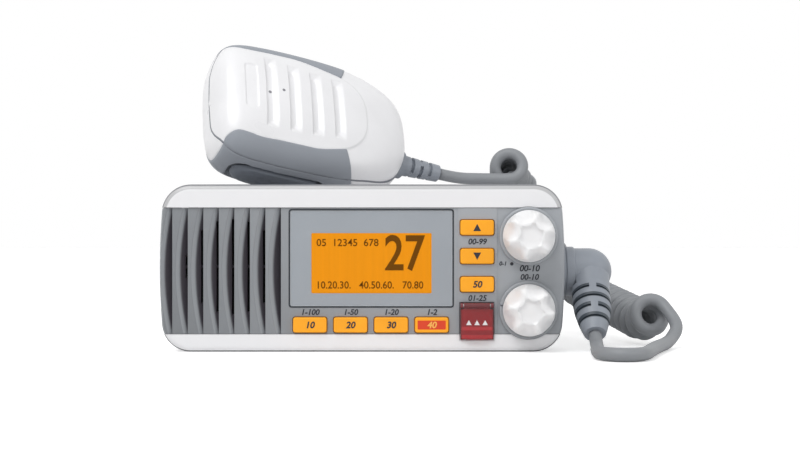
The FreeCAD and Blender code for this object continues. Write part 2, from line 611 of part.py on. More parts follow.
def make_plug():
    at = V(0, SOCKET_Y, SOCKET_Z)
    wall_x = CASE_WIDTH / 2 - 0.9
    flange = rod(at + V(wall_x, 0, 0), RIGHT, SOCKET_RADIUS, SOCKET_REACH - wall_x)
    flange = flange.cut(case_block(0, 0, BEZEL_DEPTH + 20))
    neck = rod(at + V(66, 0, 0), RIGHT, 7.0, SOCKET_REACH - 66)
    socket = neck.fuse(flange)
    save("microphone_socket", socket)
    ring = rod(at + V(SOCKET_REACH, 0, 0), RIGHT, SOCKET_RADIUS + 0.1,
               PLUG_RING_REACH - SOCKET_REACH)
    ring = ring.makeFillet(0.7, [e for e in ring.Edges if e.BoundBox.XMax - e.BoundBox.XMin < 1e-4])
    save("plug_ring", ring)
    centre = at + V(PLUG_X, 0, 0)
    arm = rod(at + V(PLUG_RING_REACH, 0, 0), RIGHT, ELBOW_RADIUS, PLUG_X - PLUG_RING_REACH)
    knee = Part.makeSphere(ELBOW_RADIUS, centre)
    angle = math.radians(BOOT_ANGLE)
    down = V(0, -math.sin(angle), -math.cos(angle))
    start = centre + down * 2.0
    neck = cone(start, down, ELBOW_RADIUS - 0.9, BOOT_TOP_RADIUS, BOOT_NECK_LENGTH)
    save("plug_elbow", arm.fuse([knee, neck]).cut(box(60, PLUG_RING_REACH, 0, 60, 0, 62)))
    boot_start = start + down * BOOT_NECK_LENGTH
    boot_length = BOOT_PROFILE[-1][0]
    points = [boot_start]
    points += [boot_start + down * along + RIGHT * radius for along, radius in BOOT_PROFILE]
    points.append(boot_start + down * boot_length)
    boot = Part.Face(Part.makePolygon(points + points[:1])).revolve(boot_start, down, 360)
    slots = []
    for number in range(BOOT_SLOTS):
        along = 2.4 + number * BOOT_SLOT_PITCH
        outer = pipe(boot_start + down * along, down, 12, boot_radius(along + 1.5) - 1.6, 1.7)
        if number % 2 == 0:
            across = box(-1.3, 1.3, -20, 20, -20, 20)
            across.translate(V(centre.x, boot_start.y, boot_start.z))
            outer = outer.cut(across)
        side_webs = box(-20, 20, -1.2, 1.2, -20, 20)
        side_webs.rotate(V(0, 0, 0), RIGHT, BOOT_ANGLE)
        side_webs.translate(boot_start + down * along)
        slots.append(outer.cut(side_webs))
    save("plug_boot", boot.cut(slots))
    return boot_start + down * boot_length, down


def boot_radius(along):
    """The boot's outer radius this far down its length."""
    for (start, first), (end, last) in zip(BOOT_PROFILE, BOOT_PROFILE[1:]):
        if along <= end:
            return first + (last - first) * (along - start) / (end - start)
    return BOOT_PROFILE[-1][1]


# Microphone

def mic_placement():
    """The microphone's own frame: x to the cord, y to the upper side, z out of its face."""
    along = V(MIC_LENGTH_AXIS).normalize()
    normal = V(MIC_FACE_NORMAL)
    normal = (normal - along * normal.dot(along)).normalize()
    side = normal.cross(along)
    matrix = FreeCAD.Matrix(along.x, side.x, normal.x, MIC_CENTRE.x,
                            along.y, side.y, normal.y, MIC_CENTRE.y,
                            along.z, side.z, normal.z, MIC_CENTRE.z, 0, 0, 0, 1)
    return FreeCAD.Placement(matrix)


def superellipse(u, half_width, half_depth, power):
    """A closed smooth section across the microphone."""
    points = []
    count = 20
    for number in range(count):
        turn = 2 * math.pi * (number + 0.5) / count
        c, s = math.cos(turn), math.sin(turn)
        y = half_width * math.copysign(abs(c) ** (2 / power), c)
        z = half_depth * math.copysign(abs(s) ** (2 / power), s)
        points.append(V(u, y, z))
    curve = Part.BSplineCurve()
    curve.interpolate(points, PeriodicFlag=True)
    return Part.Wire(curve.toShape())


def mic_body():
    wires = [superellipse(u, width, depth, MIC_POWER) for u, width, depth in MIC_SECTIONS]
    return Part.makeLoft(wires, True, False)


def save_mic(node, shape):
    placed = shape.copy()
    placed.Placement = mic_placement().multiply(placed.Placement)
    save(node, placed)


def make_microphone():
    body = mic_body()
    face_side = box(-60, 60, -60, 60, MIC_SEAM, 60)
    grip_slab = box(-35.0, 22.0, -60, -16.5, -60, 60)
    slant = box(0, 40, -60, 0, -60, 60)
    slant.rotate(V(0, 0, 0), UP, 12)
    slant.translate(V(18.0, -12, 0))
    lower_grip_space = grip_slab.cut(slant)
    upper_grip_space = box(-37.0, 14.0, 23.6, 60, -60, 60)
    spaces = [lower_grip_space, upper_grip_space]
    cavity = box(-31, 24, -14.1, 20, -12.0, 11.0)
    ptt_room = ptt_block(PTT_GAP, -45, -14.0)
    shell = body.cut(spaces + [cavity, ptt_room])
    front = shell.common(face_side)
    screw_places = [(-30, 16), (-30, -11), (30, 0)]
    screw_cuts = [mic_screw(u, v) for u, v in screw_places]
    grooves = []
    for u in MIC_GROOVES:
        long_cut = box(u - 1.9, u + 1.9, -12.5, 17.0, 15.0, 30)
        grooves.append(long_cut.makeChamfer(0.95, edges_low_sides(long_cut)))
    badge = box(-31.5, -26.5, -7.0, 13.0, 15.3, 30)
    holes = [rod(V(u, 3.0, 5), UP, 0.7, 20) for u in (-20.0, -14.6)]
    front = front.cut(grooves + [badge] + holes + screw_cuts)
    save_mic("mic_front_shell", front)
    back = shell.cut(face_side)
    stud_hole = rod(V(2, 0, -30), UP, 2.0, 25)
    back = back.cut([stud_hole] + screw_cuts)
    save_mic("mic_back_shell", back)
    save_mic("mic_lower_grip", body.common(lower_grip_space).cut(ptt_room))
    save_mic("mic_upper_grip", body.common(upper_grip_space))
    button = ptt_block(0, PTT_FACE, -16.0)
    button = button.makeFillet(1.0, [e for e in button.Edges if e.BoundBox.YMax < PTT_FACE + 0.1])
    save_mic("mic_ptt_button", button)
    save_mic("mic_capsule", rod(V(-17.3, 3.0, 5.0), UP, 4.8, 5.0))
    save_mic("mic_circuit_board", box(-29, 22, -9.0, 18, 3.2, 4.8))
    switch = box(-18, -10, -13.6, -9.4, -5, 3.0)
    save_mic("mic_ptt_switch", switch)
    stud = rod(V(2, 0, -16.8), UP, 2.0, 5).fuse([rod(V(2, 0, -20.5), UP, 4.0, 2.2),
                                                  rod(V(2, 0, -18.5), UP, 2.0, 3.0)])
    stud = stud.fuse(rod(V(2, 0, -17.0), UP, 4.6, 1.2)).cut(body.cut(stud_hole))
    save_mic("mic_hanger_stud", stud)
    save_mic("mic_screws", Part.makeCompound([mic_screw(u, v) for u, v in screw_places]))
    relief = cone(V(0, 0, 0), RIGHT, RELIEF_RADIUS, RELIEF_RADIUS - 1.0, RELIEF_LENGTH)
    slots = []
    for number in range(3):
        cut = pipe(V(8.0 + number * 4.2, 0, 0), RIGHT, 9, 2.7, 1.6)
        web = box(-60, 80, -1.0, 1.0, -20, 20) if number % 2 else box(-60, 80, -20, 20, -1.0, 1.0)
        slots.append(cut.cut(web))
    relief = relief.fuse(rod(V(0, 0, 0), RIGHT, 5.8, 4.6)).cut(slots)
    relief.translate(RELIEF_PLACE)
    save_mic("mic_strain_relief", relief.cut(body))
    end = mic_placement().multVec(RELIEF_PLACE + V(RELIEF_LENGTH, 0, 0))
    direction = mic_placement().Rotation.multVec(RIGHT)
    return end + direction * CORD_END_GAP, direction


def edges_low_sides(block):
    low = block.BoundBox.ZMin
    return [e for e in block.Edges
            if abs(e.BoundBox.ZMax - low) < 1e-4 and e.BoundBox.YMax - e.BoundBox.YMin > 5]


def ptt_block(grow, outer, inner):
    """The push-to-talk button, or the room it slides in: a long pill on the lower side."""
    pill = box(PTT_ALONG[0] - grow, PTT_ALONG[1] + grow, outer, inner,
               PTT_ACROSS[0] - grow, PTT_ACROSS[1] + grow)
    inward = [e for e in pill.Edges if abs(e.tangentAt(e.FirstParameter).y) > 0.9]
    return pill.makeFillet(5.0, inward)


def mic_screw(u, v):
    return rod(V(u, v, -9.0), UP, 1.2, 8).fuse(rod(V(u, v, -11.5), UP, 2.4, 2.5))


# Cord

def arc_from_tangent(start, tangent, end):
    """The arc that leaves start along tangent and reaches end."""
    chord = end - start
    along = V(chord).normalize()
    away = tangent - along * tangent.dot(along)
    if away.Length < 1e-6:
        return Part.makeLine(start, end)
    away.normalize()
    angle = math.acos(max(-1.0, min(1.0, tangent.dot(along))))
    middle = start + chord * 0.5 + away * (chord.Length / 2 * math.tan(angle / 2))
    return Part.Arc(start, middle, end).toShape()


def biarc(p0, t0, p1, t1):
    """Two arcs between two points with given directions, and the smaller radius."""
    chord = p1 - p0
    total = t0 + t1
    lean = chord.dot(total)
    spread = 2 * (1 - t0.dot(t1))
    reach = (-lean + math.sqrt(lean * lean + spread * chord.dot(chord))) / spread
    joint = (p0 + p1 + (t0 - t1) * reach) * 0.5
    first = arc_from_tangent(p0, t0, joint)
    reverse = arc_from_tangent(p1, t1 * -1, joint)
    middle = reverse.valueAt(reverse.getParameterByLength(reverse.Length / 2))
    second = Part.Arc(joint, middle, p1).toShape()
    return [first, second], min(edge.Curve.Radius for edge in (first, second))


class CoilLine:
    """The coil's middle line with a frame that turns as little as it can."""

    def __init__(self, points, steps=240):
        curve = Part.BSplineCurve()
        curve.interpolate(points)
        self.edge = curve.toShape()
        self.length = self.edge.Length
        self.steps = steps
        self.frames = []
        self.shares = [0.0]
        side = UP
        for number in range(steps + 1):
            parameter = self.edge.getParameterByLength(self.length * number / steps)
            point = self.edge.valueAt(parameter)
            tangent = self.edge.tangentAt(parameter)
            side = side - tangent * side.dot(tangent)
            side = V(side).normalize()
            self.frames.append((point, tangent, side))
            if number:
                bend = self.edge.curvatureAt(parameter)
                self.shares.append(self.shares[-1] + max(0.3, 1 - COIL_RADIUS * bend))
        self.shares = [share / self.shares[-1] for share in self.shares]

    def at(self, share):
        """The middle line where this share of the turns is wound: fewer in a bend."""
        share = max(0.0, min(1.0, share))
        low = max(0, min(bisect.bisect_right(self.shares, share) - 1, self.steps - 1))
        blend = (share - self.shares[low]) / (self.shares[low + 1] - self.shares[low])
        point = self.frames[low][0] * (1 - blend) + self.frames[low + 1][0] * blend
        tangent = self.frames[low][1] * (1 - blend) + self.frames[low + 1][1] * blend
        side = self.frames[low][2] * (1 - blend) + self.frames[low + 1][2] * blend
        tangent.normalize()
        side = (side - tangent * side.dot(tangent)).normalize()
        return point, side, tangent.cross(side)


def helix_point(line, turn, turns):
    """A point of the left-handed helix; turn 0 is at its lowest, and it climbs to the right."""
    point, side, across = line.at(turn / turns)
    angle = 2 * math.pi * turn
    return point - side * (COIL_RADIUS * math.cos(angle)) + across * (COIL_RADIUS * math.sin(angle))


def helix_direction(line, turn, turns):
    step = 0.002
    return (helix_point(line, turn + step, turns) - helix_point(line, turn - step, turns)).normalize()


def least_gap(points, around):
    """The least clear distance between turns of the tube, on sampled points."""
    least = 1e9
    for i in range(len(points)):
        for j in range(i + around, len(points)):
            distance = (points[i] - points[j]).Length
            if distance < least:
                least = distance
    return least - 2 * CORD_RADIUS


def swept_tube(edges, start, direction):
    wire = Part.Wire(edges)
    circle = Part.Wire(Part.makeCircle(CORD_RADIUS, start, direction))
    return wire.makePipeShell([circle], True, False), wire


def run_and_arc_path(points, name):
    """Straight runs joined by tangent arcs, each as large as its two runs allow."""
    edges = []
    last = points[0]
    radii = []
    for before, here, after in zip(points, points[1:], points[2:]):
        into = here - before
        out = after - here
        run = 0.45 * min(into.Length, out.Length)
        into_unit, out_unit = V(into).normalize(), V(out).normalize()
        arc_start = here - into_unit * run
        arc_end = here + out_unit * run
        edges.append(Part.makeLine(last, arc_start))
        arc = arc_from_tangent(arc_start, into_unit, arc_end)
        edges.append(arc)
        radii.append(round(arc.Curve.Radius, 1))
        last = arc_end
    edges.append(Part.makeLine(last, points[-1]))
    print(name, "radii", radii)
    return edges


def compare_volume(name, solid, wire):
    expected = math.pi * CORD_RADIUS ** 2 * wire.Length
    print(name, "length", round(wire.Length, 1), "volume ratio", round(solid.Volume / expected, 4))


def make_cord(boot_end, boot_direction, relief_end, relief_direction):
    line = CoilLine(COIL_ROUTE)
    turns = COIL_TURNS
    halves = int(turns * 2)
    stops = [turns * number / halves for number in range(halves + 1)]
    points = [helix_point(line, stop, turns) for stop in stops]
    directions = [helix_direction(line, stop, turns) for stop in stops]
    lead = 2 * CORD_RADIUS
    edges = [Part.makeLine(points[0] - directions[0] * lead, points[0])]
    least_radius = 1e9
    for number in range(halves):
        arcs, radius = biarc(points[number], directions[number],
                             points[number + 1], directions[number + 1])
        edges.extend(arcs)
        least_radius = min(least_radius, radius)
    edges.append(Part.makeLine(points[-1], points[-1] + directions[-1] * lead))
    coil_start = points[0] - directions[0] * lead
    coil_end = points[-1] + directions[-1] * lead
    coil, wire = swept_tube(edges, coil_start, directions[0])
    samples = [helix_point(line, turns * number / (halves * 8), turns)
               for number in range(halves * 8 + 1)]
    print("coil turns", COIL_TURNS, "middle line", round(line.length, 1), "least radius",
          round(least_radius, 2), "least gap", round(least_gap(samples, 8), 2))
    compare_volume("cord_coil", coil, wire)
    save("cord_coil", coil)

    mic_route = [relief_end, relief_end + relief_direction * 9,
                 coil_start - directions[0] * 9, coil_start]
    edges = run_and_arc_path(mic_route, "cord_mic_end")
    tube, wire = swept_tube(edges, relief_end, relief_direction)
    compare_volume("cord_mic_end", tube, wire)
    save("cord_mic_end", tube)

    plug_route = [boot_end, boot_end + boot_direction * 5.0] + FLOOR_ROUTE
    plug_route += [coil_end + directions[-1] * 6.0, coil_end]
    edges = run_and_arc_path(plug_route, "cord_plug_end")
    tube, wire = swept_tube(edges, boot_end, boot_direction)
    compare_volume("cord_plug_end", tube, wire)
    save("cord_plug_end", tube)
    print("coil end", coil_end, "towards", directions[-1])
    print("relief end", relief_end, relief_direction, "boot end", boot_end)


def main():
    os.makedirs("parts", exist_ok=True)
    save("front_bezel", make_bezel())
    save("front_panel", make_panel())
    make_display()
    make_keys()
    make_flap()
    make_controls()
    make_speaker()
    board_posts, board_screws = make_electronics()
    make_chassis(board_posts, board_screws)
    make_antenna_socket()
    boot_end, boot_direction = make_plug()
    relief_end, relief_direction = make_microphone()
    make_cord(boot_end, boot_direction, relief_end, relief_direction)
    print("nodes", len(volumes), "shift", SHIFT)


main()
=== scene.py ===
import json
import math

import bpy
import numpy as np
from bpy.props import FloatProperty, FloatVectorProperty, IntProperty, PointerProperty
from bpy.types import Operator, Panel, PropertyGroup
from mathutils import Matrix, Vector


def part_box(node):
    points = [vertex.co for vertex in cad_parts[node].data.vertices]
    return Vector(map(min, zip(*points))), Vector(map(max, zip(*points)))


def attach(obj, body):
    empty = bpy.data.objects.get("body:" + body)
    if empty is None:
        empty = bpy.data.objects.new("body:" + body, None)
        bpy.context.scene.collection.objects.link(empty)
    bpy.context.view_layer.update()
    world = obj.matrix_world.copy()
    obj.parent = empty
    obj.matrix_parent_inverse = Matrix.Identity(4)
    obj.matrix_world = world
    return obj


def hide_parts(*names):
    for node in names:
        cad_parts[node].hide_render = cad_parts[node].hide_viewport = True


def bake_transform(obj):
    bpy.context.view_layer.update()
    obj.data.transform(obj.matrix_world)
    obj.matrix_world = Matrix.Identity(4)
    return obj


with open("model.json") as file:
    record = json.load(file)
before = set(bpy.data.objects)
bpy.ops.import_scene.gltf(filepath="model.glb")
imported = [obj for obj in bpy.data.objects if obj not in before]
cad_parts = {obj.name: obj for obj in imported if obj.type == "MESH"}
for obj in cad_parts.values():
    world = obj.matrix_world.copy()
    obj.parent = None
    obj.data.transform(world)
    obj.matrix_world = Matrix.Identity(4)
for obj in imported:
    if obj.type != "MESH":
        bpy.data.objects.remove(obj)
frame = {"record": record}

# A fixed-mount marine radio with its microphone: finishes, cord, marks and stage.

bl_info = {
    "name": "Marine radio",
    "version": (1, 0, 0),
    "blender": (4, 5, 0),
    "location": "3D View > Sidebar > Radio",
    "description": "Gives a fixed-mount marine radio its finishes, cord, marks and stage",
    "category": "Object",
}

MM = 0.001

# The case's middle at its front face on the surface it stands on, where x, y and z are 0
CASE_LOW, CASE_HIGH = (Vector(corner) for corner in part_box("front_bezel"))
CASE_ORIGIN = Vector(((CASE_LOW.x + CASE_HIGH.x) / 2, CASE_LOW.y, 0.0))

# The cord's route in case millimetres, from the plug's boot to the microphone
BOOT_END = Vector((86.0, -0.95, 6.67))
FLOOR_ROUTE = [
    (86.0, -4.4, 3.2), (85.4, -13.5, 2.6), (83.4, -28, 2.5), (82.6, -41.5, 2.5),
    (85.8, -48.2, 2.5), (91.6, -50.2, 2.5), (96.8, -46.6, 2.5), (99.8, -38, 2.5),
    (103.8, -22, 2.5), (108.8, -5, 2.5), (113.6, 9, 2.5), (117.2, 19, 3.4), (121.7, 26.8, 8.1),
]
COIL_ROUTE = [
    (60.5, 92, 73.0), (60.8, 106, 70.6), (63.5, 120, 68.2), (70, 131, 62), (77, 135, 50),
    (80.5, 133, 37), (84.5, 123, 27), (91, 104, 20.5), (99, 81, 15.8), (106.5, 58, 11.8),
    (109.7, 46, 9.4), (111.4, 38, 10.4), (111.8, 32, 13.2),
]
MICROPHONE_ROUTE = [(47.0, 91.6, 67.3), (38.1, 91.2, 67.5), (30.0, 87.3, 69.3)]


def at(x, y, z):
    """A point of the row frame from case millimetres."""
    return CASE_ORIGIN + Vector((x, y, z)) * MM


def case_box(node):
    """A carried-over node's lowest and highest corners in case millimetres."""
    return [(Vector(corner) - CASE_ORIGIN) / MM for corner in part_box(node)]


def srgb(red, green, blue):
    """A display colour from 0 to 255 as the linear one that shaders take."""
    def linear(value):
        share = value / 255
        return share / 12.92 if share <= 0.04045 else ((share + 0.055) / 1.055) ** 2.4
    return (linear(red), linear(green), linear(blue))


def colour_setting(name, description, red, green, blue):
    return FloatVectorProperty(name=name, description=description, subtype="COLOR",
                               default=srgb(red, green, blue))


def length_setting(name, description, default):
    return FloatProperty(name=name, description=description, default=default, unit="LENGTH")


# Shader maths

class Socket:
    """One output of a node. Arithmetic on it adds Math nodes to its tree."""

    def __init__(self, nodes, output):
        self.nodes = nodes
        self.output = output

    def maths(self, operation, *values):
        return self.nodes.node("ShaderNodeMath", {"operation": operation}, dict(enumerate(values)))

    def __add__(self, other):
        return self.maths("ADD", self, other)

    def __sub__(self, other):
        return self.maths("SUBTRACT", self, other)

    def __rsub__(self, other):
        return self.maths("SUBTRACT", other, self)

    def __mul__(self, other):
        return self.maths("MULTIPLY", self, other)

    def __truediv__(self, other):
        return self.maths("DIVIDE", self, other)

    def __rtruediv__(self, other):
        return self.maths("DIVIDE", other, self)

    def __abs__(self):
        return self.maths("ABSOLUTE", self)

    __radd__ = __add__
    __rmul__ = __mul__

    def smooth_step(self, low, high):
        """From 0 below low to 1 above high, eased at both ends."""
        inputs = {"Value": self, "From Min": low, "From Max": high}
        return self.nodes.node("ShaderNodeMapRange", {"interpolation_type": "SMOOTHSTEP"}, inputs)

    def band(self, low, high, soft):
        """1 between low and high, with this soft an edge."""
        return self.smooth_step(low, low + soft) * (1 - self.smooth_step(high - soft, high))

    def larger(self, other):
        return self.maths("MAXIMUM", self, other)

    def root(self):
        return self.maths("SQRT", self)


class Nodes:
    """A node tree, in which one method makes any node."""

    def __init__(self, tree):
        self.tree = tree

    def plug(self, target, value):
        if isinstance(value, Socket):
            self.tree.links.new(value.output, target)
        else:
            target.default_value = value

    def node(self, kind, settings=None, inputs=None, output=0):
        """Any node, with its settings and inputs by name or number."""
        made = self.tree.nodes.new(kind)
        for name, value in (settings or {}).items():
            setattr(made, name, value)
        for name, value in (inputs or {}).items():
            self.plug(made.inputs[name], value)
        return Socket(self, made.outputs[output])


# A colour Mix node's sockets by number
MIX_FIRST, MIX_SECOND, MIX_RESULT = 6, 7, 2


class Shader(Nodes):
    """One material: a Principled BSDF and the nodes that feed it."""

    def __init__(self, name, colour, roughness, metallic=0.0, coat=0.0, alpha=1.0):
        self.material = bpy.data.materials.new(name)
        self.material.use_nodes = True
        super().__init__(self.material.node_tree)
        self.surface = self.tree.nodes["Principled BSDF"]
        self.set("Base Color", (*colour, 1.0))
        self.set("Roughness", roughness)
        self.set("Metallic", metallic)
        self.set("Coat Weight", coat)
        self.set("Alpha", alpha)

    def set(self, name, value):
        self.plug(self.surface.inputs[name], value)

    def place(self):
        """Where the surface is, in metres."""
        return self.node("ShaderNodeTexCoord", output="Object")

    def axis(self, name):
        return self.node("ShaderNodeSeparateXYZ", inputs={0: self.place()}, output=name)

    def case_place(self):
        """Across, into and up the case, in its millimetres."""
        return [(self.axis(name) - origin) / MM for name, origin in zip("XYZ", CASE_ORIGIN)]

    def noise(self, scale, detail, stretch=(1.0, 1.0, 1.0)):
        """Noise from 0 to 1 with this many lumps in a metre."""
        inputs = {0: self.place(), 1: stretch}
        stretched = self.node("ShaderNodeVectorMath", {"operation": "MULTIPLY"}, inputs)
        inputs = {"Vector": stretched, "Scale": scale, "Detail": detail}
        return self.node("ShaderNodeTexNoise", inputs=inputs)

    def mix(self, factor, first, second):
        inputs = {0: factor, MIX_FIRST: first, MIX_SECOND: second}
        return self.node("ShaderNodeMix", {"data_type": "RGBA"}, inputs, MIX_RESULT)

    def bump(self, height, depth):
        """Relief of this depth in metres."""
        inputs = {"Height": height, "Distance": depth}
        self.set("Normal", self.node("ShaderNodeBump", inputs=inputs))


def shade(colour, factor):
    return (*(channel * factor for channel in colour[:3]), 1.0)


# How much lighter and darker the patches of moulded plastic are
PATCH_TONE = 0.06


def moulded(name, colour, roughness, grain=9000.0, relief=0.00002, coat=0.0):
    """Moulded plastic with a fine grain and a faint uneven tone."""
    shader = Shader(name, colour[:3], roughness, coat=coat)
    patches = shader.noise(55.0, 3.0)
    dark, light = shade(colour, 1 - PATCH_TONE), shade(colour, 1 + PATCH_TONE)
    shader.set("Base Color", shader.mix(patches, dark, light))
    shader.set("Roughness", roughness - 0.06 + patches * 0.12)
    shader.bump(shader.noise(grain, 1.0), relief)
    return shader


def paint(node, shader):
    """Give a carried-over node one finish."""
    mesh = bpy.data.objects[node].data
    mesh.materials.clear()
    mesh.materials.append(shader.material)
    for polygon in mesh.polygons:
        polygon.material_index = 0


def make_mesh(name, vertices, faces, smooth=False):
    mesh = bpy.data.meshes.new(name)
    mesh.from_pydata(vertices, [], faces)
    if smooth:
        mesh.shade_smooth()
    return mesh


def ring_faces(rings, count):
    """Quads between closed rings of this many points each."""
    faces = []
    for start in range(0, (rings - 1) * count, count):
        for number in range(count):
            after = (number + 1) % count
            faces.append((start + number, start + after, start + count + after, start + count + number))
    return faces


def new_piece(name, mesh, shader, body="root"):
    """A shown object that rides on a body."""
    piece = bpy.data.objects.new(name, mesh)
    bpy.context.scene.collection.objects.link(piece)
    mesh.materials.append(shader.material)
    if body:
        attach(piece, body)
    return piece


# Cord

UP = Vector((0.0, 0.0, 1.0))
# Steps between two control points, of the cord and of the coil's middle line
CORD_STEPS = 6
COIL_LINE_STEPS = 24
# Share of the turns that the sharpest bend keeps
FEWEST_TURNS = 0.3


def nurbs_points(controls, resolution):
    """Points along the smooth line that these control points have."""
    curve = bpy.data.curves.new("cord_line", "CURVE")
    curve.dimensions = "3D"
    curve.resolution_u = resolution
    spline = curve.splines.new("NURBS")
    spline.points.add(len(controls) - 1)
    for point, control in zip(spline.points, controls):
        point.co = (*control, 1.0)
    spline.order_u = 3
    spline.use_endpoint_u = True
    holder = bpy.data.objects.new("cord_line", curve)
    mesh = bpy.data.meshes.new_from_object(holder)
    points = [vertex.co.copy() for vertex in mesh.vertices]
    bpy.data.objects.remove(holder)
    bpy.data.curves.remove(curve)
    bpy.data.meshes.remove(mesh)
    return points


def transported_frames(points, side):
    """A tangent and a side at each point, with the side turning as little as it can."""
    frames = []
    for number, point in enumerate(points):
        before = points[max(number - 1, 0)]
        after = points[min(number + 1, len(points) - 1)]
        tangent = (after - before).normalized()
        side = (side - tangent * side.dot(tangent)).normalized()
        frames.append((point, tangent, side))
    return frames


def coil_points(controls, coil_radius, turns, per_turn):
    """A left-handed helix round the coil's middle line, with fewer turns in its bends."""
    reach = coil_radius / math.cos(math.pi / per_turn)
    frames = transported_frames(nurbs_points(controls, COIL_LINE_STEPS), UP)
    shares = [0.0]
    for (here, tangent, _), (there, following, _) in zip(frames, frames[1:]):
        length = (there - here).length
        bend = (following - tangent).length / length
        shares.append(shares[-1] + length * max(FEWEST_TURNS, 1 - coil_radius * bend))
    points = []
    count = round(turns * per_turn)
    low = 0
    for number in range(count + 1):
        share = shares[-1] * number / count
        while low < len(shares) - 2 and shares[low + 1] < share:
            low += 1
        blend = (share - shares[low]) / (shares[low + 1] - shares[low])
        middle = frames[low][0].lerp(frames[low + 1][0], blend)
        tangent = frames[low][1].lerp(frames[low + 1][1], blend).normalized()
        side = frames[low][2].lerp(frames[low + 1][2], blend)
        side = (side - tangent * side.dot(tangent)).normalized()
        angle = 2 * math.pi * turns * number / count
        across = tangent.cross(side)
        points.append(middle - side * reach * math.cos(angle) + across * reach * math.sin(angle))
    return points


def tube_mesh(name, path, radius, sides):
    """A round tube along a path, closed at both ends."""
    vertices = []
    for point, tangent, side in transported_frames(path, UP):
        across = tangent.cross(side)
        for number in range(sides):
            turn = 2 * math.pi * number / sides
            vertices.append(point + (side * math.cos(turn) + across * math.sin(turn)) * radius)
    count = len(vertices)
    ends = [tuple(range(sides))[::-1], tuple(range(count - sides, count))]
    return make_mesh(name, vertices, ring_faces(len(path), sides) + ends, smooth=True)


class RADIO_OT_cord(Operator):
    """Make the microphone's cord: straight ends and a curly part in one tube"""

    bl_idname = "radio.cord"
    bl_label = "Cord"

    def execute(self, context):
        sizes = context.scene.radio_cord
        controls = [at(*BOOT_END)] + [at(*point) for point in FLOOR_ROUTE]
        coil = coil_points([at(*point) for point in COIL_ROUTE], sizes.coil_radius,
                           sizes.turns, sizes.points_per_turn)
        controls += coil[::-1] + [at(*point) for point in MICROPHONE_ROUTE]
        path = nurbs_points(controls, CORD_STEPS)
        mesh = tube_mesh("microphone_cord", path, sizes.radius, sizes.sides)
        rubber = moulded("cord_jacket", sizes.colour, 0.5, 2500.0, 0.00003)
        cord = new_piece("microphone_cord", mesh, rubber, body=None)
        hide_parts("cord_coil", "cord_mic_end", "cord_plug_end")
        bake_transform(cord)
        return {"FINISHED"}


class CordSizes(PropertyGroup):
    """The microphone's cord"""

    radius: length_setting("Radius", "Half the cord's thickness", 0.00245)
    coil_radius: length_setting("Coil radius", "From the coil's middle to the cord's", 0.00575)
    turns: FloatProperty(name="Turns", description="Turns of the curly part", default=30.36)
    points_per_turn: IntProperty(name="Points per turn", description="Control points in a turn",
                                 default=12)
    sides: IntProperty(name="Sides", description="Sides of the tube", default=12)
    length: length_setting("Length", "The cord's whole length", 1.29)
    colour: colour_setting("Colour", "The jacket's colour", 140, 143, 147)


# Finishes of the carried-over nodes

class FinishColours(PropertyGroup):
    """Colours of the finishes"""

    white: colour_setting("White", "White plastic", 242, 242, 244)
    panel: colour_setting("Panel", "Grey front panel", 168, 172, 177)
    amber: colour_setting("Amber", "Lit key caps", 252, 170, 38)
    screen: colour_setting("Screen", "Lit display", 238, 148, 0)
    plug: colour_setting("Plug", "Moulded plug and reliefs", 146, 152, 161)
    red: colour_setting("Red", "Distress key and cover", 150, 20, 28)


# Colour and roughness of plastic, rubber and paper by slot, and of metal
PLAIN_FINISHES = {
    "grey_print": ((128, 138, 146), 0.5), "white_inner": ((225, 225, 220), 0.4),
    "black_inner": ((48, 48, 50), 0.4), "paper_cone": ((30, 30, 32), 0.85),
    "board": ((25, 90, 50), 0.35), "cover_plate": ((222, 222, 224), 0.4),
    "seal_rubber": ((40, 40, 42), 0.7), "gland_rubber": ((38, 38, 40), 0.6),
}
METAL_FINISHES = {
    "steel": ((190, 190, 192), 0.3), "screw_steel": ((205, 205, 206), 0.3),
    "magnet": ((90, 90, 92), 0.55), "brass_insert": ((205, 175, 105), 0.3),
    "nickel": ((215, 212, 205), 0.18),
}


def nodes_with_slot(slot):
    return [row["node"] for row in frame["record"]["subparts"] if row["material_slot"] == slot]


def metal(name, colour, roughness):
    """Bare or plated metal with fine drawn lines."""
    shader = Shader(name, colour, roughness, metallic=1.0)
    lines = shader.noise(3000.0, 2.0, (1.0, 0.05, 1.0))
    shader.set("Roughness", roughness - 0.08 + lines * 0.16)
    shader.bump(lines, 0.00001)
    return shader


class RADIO_OT_finishes(Operator):
    """Give each carried-over node the finish of its material slot"""

    bl_idname = "radio.finishes"
    bl_label = "Finishes"

    def execute(self, context):
        colours = context.scene.radio_colours
        finishes = {
            "grey_case": panel_finish(colours.panel),
            "clear_lens": lens_finish(),
            "amber_screen": screen_finish(colours.screen),
            "amber_rubber": moulded("amber_rubber", colours.amber, 0.6),
            "red_key": moulded("red_key", colours.red, 0.35),
            "red_clear": red_clear_finish(colours.red),
            "cast_case": moulded("cast_case", srgb(228, 228, 230), 0.45, 3500.0, 0.00006),
            "cord_grey": moulded("cord_grey", colours.plug, 0.42),
        }
        for table, finish in ((PLAIN_FINISHES, moulded), (METAL_FINISHES, metal)):
            for slot, (colour, roughness) in table.items():
                finishes[slot] = finish(slot, srgb(*colour), roughness)
        for slot, shader in finishes.items():
            for node in nodes_with_slot(slot):
                paint(node, shader)
        for node in nodes_with_slot("amber_key"):
            paint(node, key_finish(node, colours.amber))
        paint("front_bezel", bezel_finish(colours.white))
        paint("plug_boot", boot_finish(colours.plug))
        # Painted shade: the steel basket takes the dark cone finish, so that it looks dark through the
        # grille's slots
        paint("speaker_basket", finishes["paper_cone"])
        return {"FINISHED"}


def lens_finish():
    """A clear window with the faintest haze."""
    shader = Shader("clear_lens", (0.9, 0.92, 0.95), 0.06, alpha=0.06)
    shader.set("Alpha", 0.045 + shader.noise(25.0, 2.0) * 0.03)
    return shader


